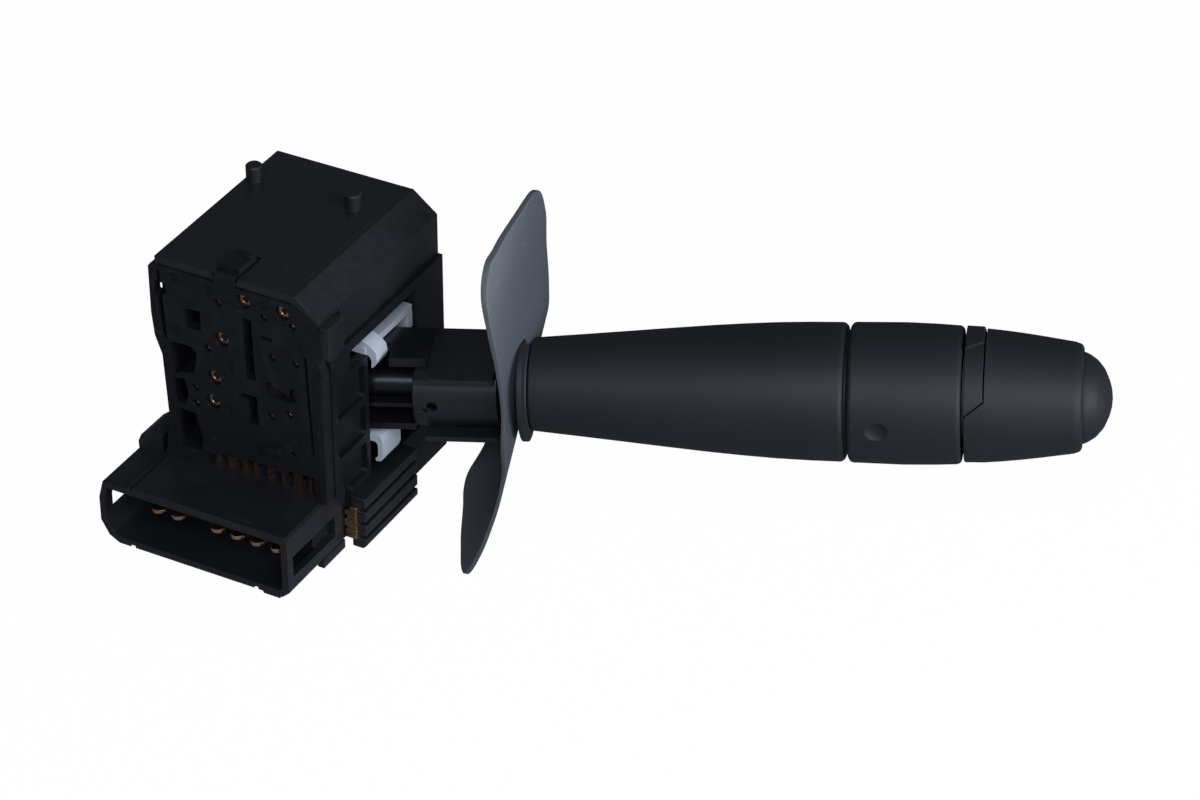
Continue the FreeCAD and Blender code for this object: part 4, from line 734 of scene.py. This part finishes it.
# camera: where the photograph was taken from, in the row frame
cameraSetup = {"eye": (0.360215, -0.576301, 0.415067), "lens": 119.69, "film": 36, "nearest": 0.01,
               "right": (0.883111, 0.469155, 0.003068), "down": (0.266204, -0.495681, -0.826702),
               "forward": (-0.386330, 0.730886, -0.562632)}
bpy.ops.object.camera_add(location=cameraSetup["eye"])
camera = bpy.context.active_object
camera.name = "photoCamera"
right, down, forward = (Vector(cameraSetup[k]) for k in ("right", "down", "forward"))
camera.matrix_world = Matrix(((right.x, -down.x, -forward.x, cameraSetup["eye"][0]),
                              (right.y, -down.y, -forward.y, cameraSetup["eye"][1]),
                              (right.z, -down.z, -forward.z, cameraSetup["eye"][2]), (0, 0, 0, 1)))
camera.data.lens = cameraSetup["lens"]
camera.data.sensor_width = cameraSetup["film"]
camera.data.sensor_fit = "HORIZONTAL"
camera.data.clip_start = cameraSetup["nearest"]
bpy.context.scene.camera = camera

# studio: pale floor, white surround, two soft panels
paper = {"size": 6, "below": 0.0004, "tone": (0.3, 0.3, 0.31, 1), "rough": 0.9, "sheen": 0.1, "glow": 1.06,
         "glowShare": 0.93}
bpy.ops.object.select_all(action="DESELECT")
bpy.ops.mesh.primitive_plane_add(size=paper["size"], location=(0, 0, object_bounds()[0].z - paper["below"]))
floor = bpy.context.active_object
floor.name = "studioFloor"
floorPaint = bpy.data.materials.new("palePaper")
floorPaint.use_nodes = True
tree = floorPaint.node_tree
skin = tree.nodes["Principled BSDF"]
skin.inputs["Base Color"].default_value = paper["tone"]
skin.inputs["Roughness"].default_value = paper["rough"]
skin.inputs["Specular IOR Level"].default_value = paper["sheen"]
glow = addNode(tree, "ShaderNodeEmission", None, {"Color": (1, 1, 1, 1), "Strength": paper["glow"]})
blend = addNode(tree, "ShaderNodeMixShader")
rays = addNode(tree, "ShaderNodeLightPath")
wire(tree, sums(tree, "MULTIPLY", rays.outputs["Is Camera Ray"], paper["glowShare"]), blend.inputs[0])
wire(tree, skin.outputs[0], blend.inputs[1])
wire(tree, glow.outputs[0], blend.inputs[2])
wire(tree, blend.outputs[0], tree.nodes["Material Output"].inputs["Surface"])
paint(floor, floorPaint)

daylight = (0.88, 0.97, 1.12)
surround = {"soft": 0.05, "white": 1.0, "mirrored": 0.06, "fadesFrom": 0.25, "fadesTo": 0.55}
world = bpy.data.worlds.new("studio")
bpy.context.scene.world = world
world.use_nodes = True
tree = world.node_tree
tree.nodes.clear()
out = addNode(tree, "ShaderNodeOutputWorld")
soft = addNode(tree, "ShaderNodeBackground", None, {"Color": daylight + (1,), "Strength": surround["soft"]})
white = addNode(tree, "ShaderNodeBackground", None, {"Color": (1, 1, 1, 1), "Strength": surround["white"]})
rays = addNode(tree, "ShaderNodeLightPath")
where = addNode(tree, "ShaderNodeTexCoord")
split = addNode(tree, "ShaderNodeSeparateXYZ")
wire(tree, where.outputs["Generated"], split.inputs[0])
lowDown = ramped(tree, split.outputs["Z"], surround["fadesTo"], surround["fadesFrom"])
glossy = sums(tree, "MULTIPLY", rays.outputs["Is Glossy Ray"],
              sums(tree, "MULTIPLY", lowDown, surround["mirrored"]))
seen = sums(tree, "ADD", sums(tree, "ADD", rays.outputs["Is Camera Ray"], glossy),
            rays.outputs["Is Transmission Ray"], True)
pick = addNode(tree, "ShaderNodeMixShader")
wire(tree, seen, pick.inputs[0])
wire(tree, soft.outputs[0], pick.inputs[1])
wire(tree, white.outputs[0], pick.inputs[2])
wire(tree, pick.outputs[0], out.inputs["Surface"])

aim = Vector((0.03, 0.0, -0.03))
panels = {  # direction from the object, distance, width, height, watts
    "sidePanel": ((0.97, -0.12, 0.26), 0.8, 0.5, 0.4, 4.2),
    "frontPanel": ((0.4, -0.7, 0.62), 0.9, 0.7, 0.4, 3.9),
}
for name, (toward, distance, width, height, watts) in panels.items():
    spot = aim + Vector(toward).normalized() * distance
    bpy.ops.object.light_add(type="AREA", location=spot)
    lamp = bpy.context.active_object
    lamp.name = name
    lamp.data.shape = "RECTANGLE"
    lamp.data.size = width
    lamp.data.size_y = height
    lamp.data.energy = watts
    lamp.data.color = daylight
    lamp.rotation_euler = (aim - spot).to_track_quat("-Z", "Y").to_euler()
bpy.context.scene.view_settings.view_transform = "Standard"
print("studio lit")
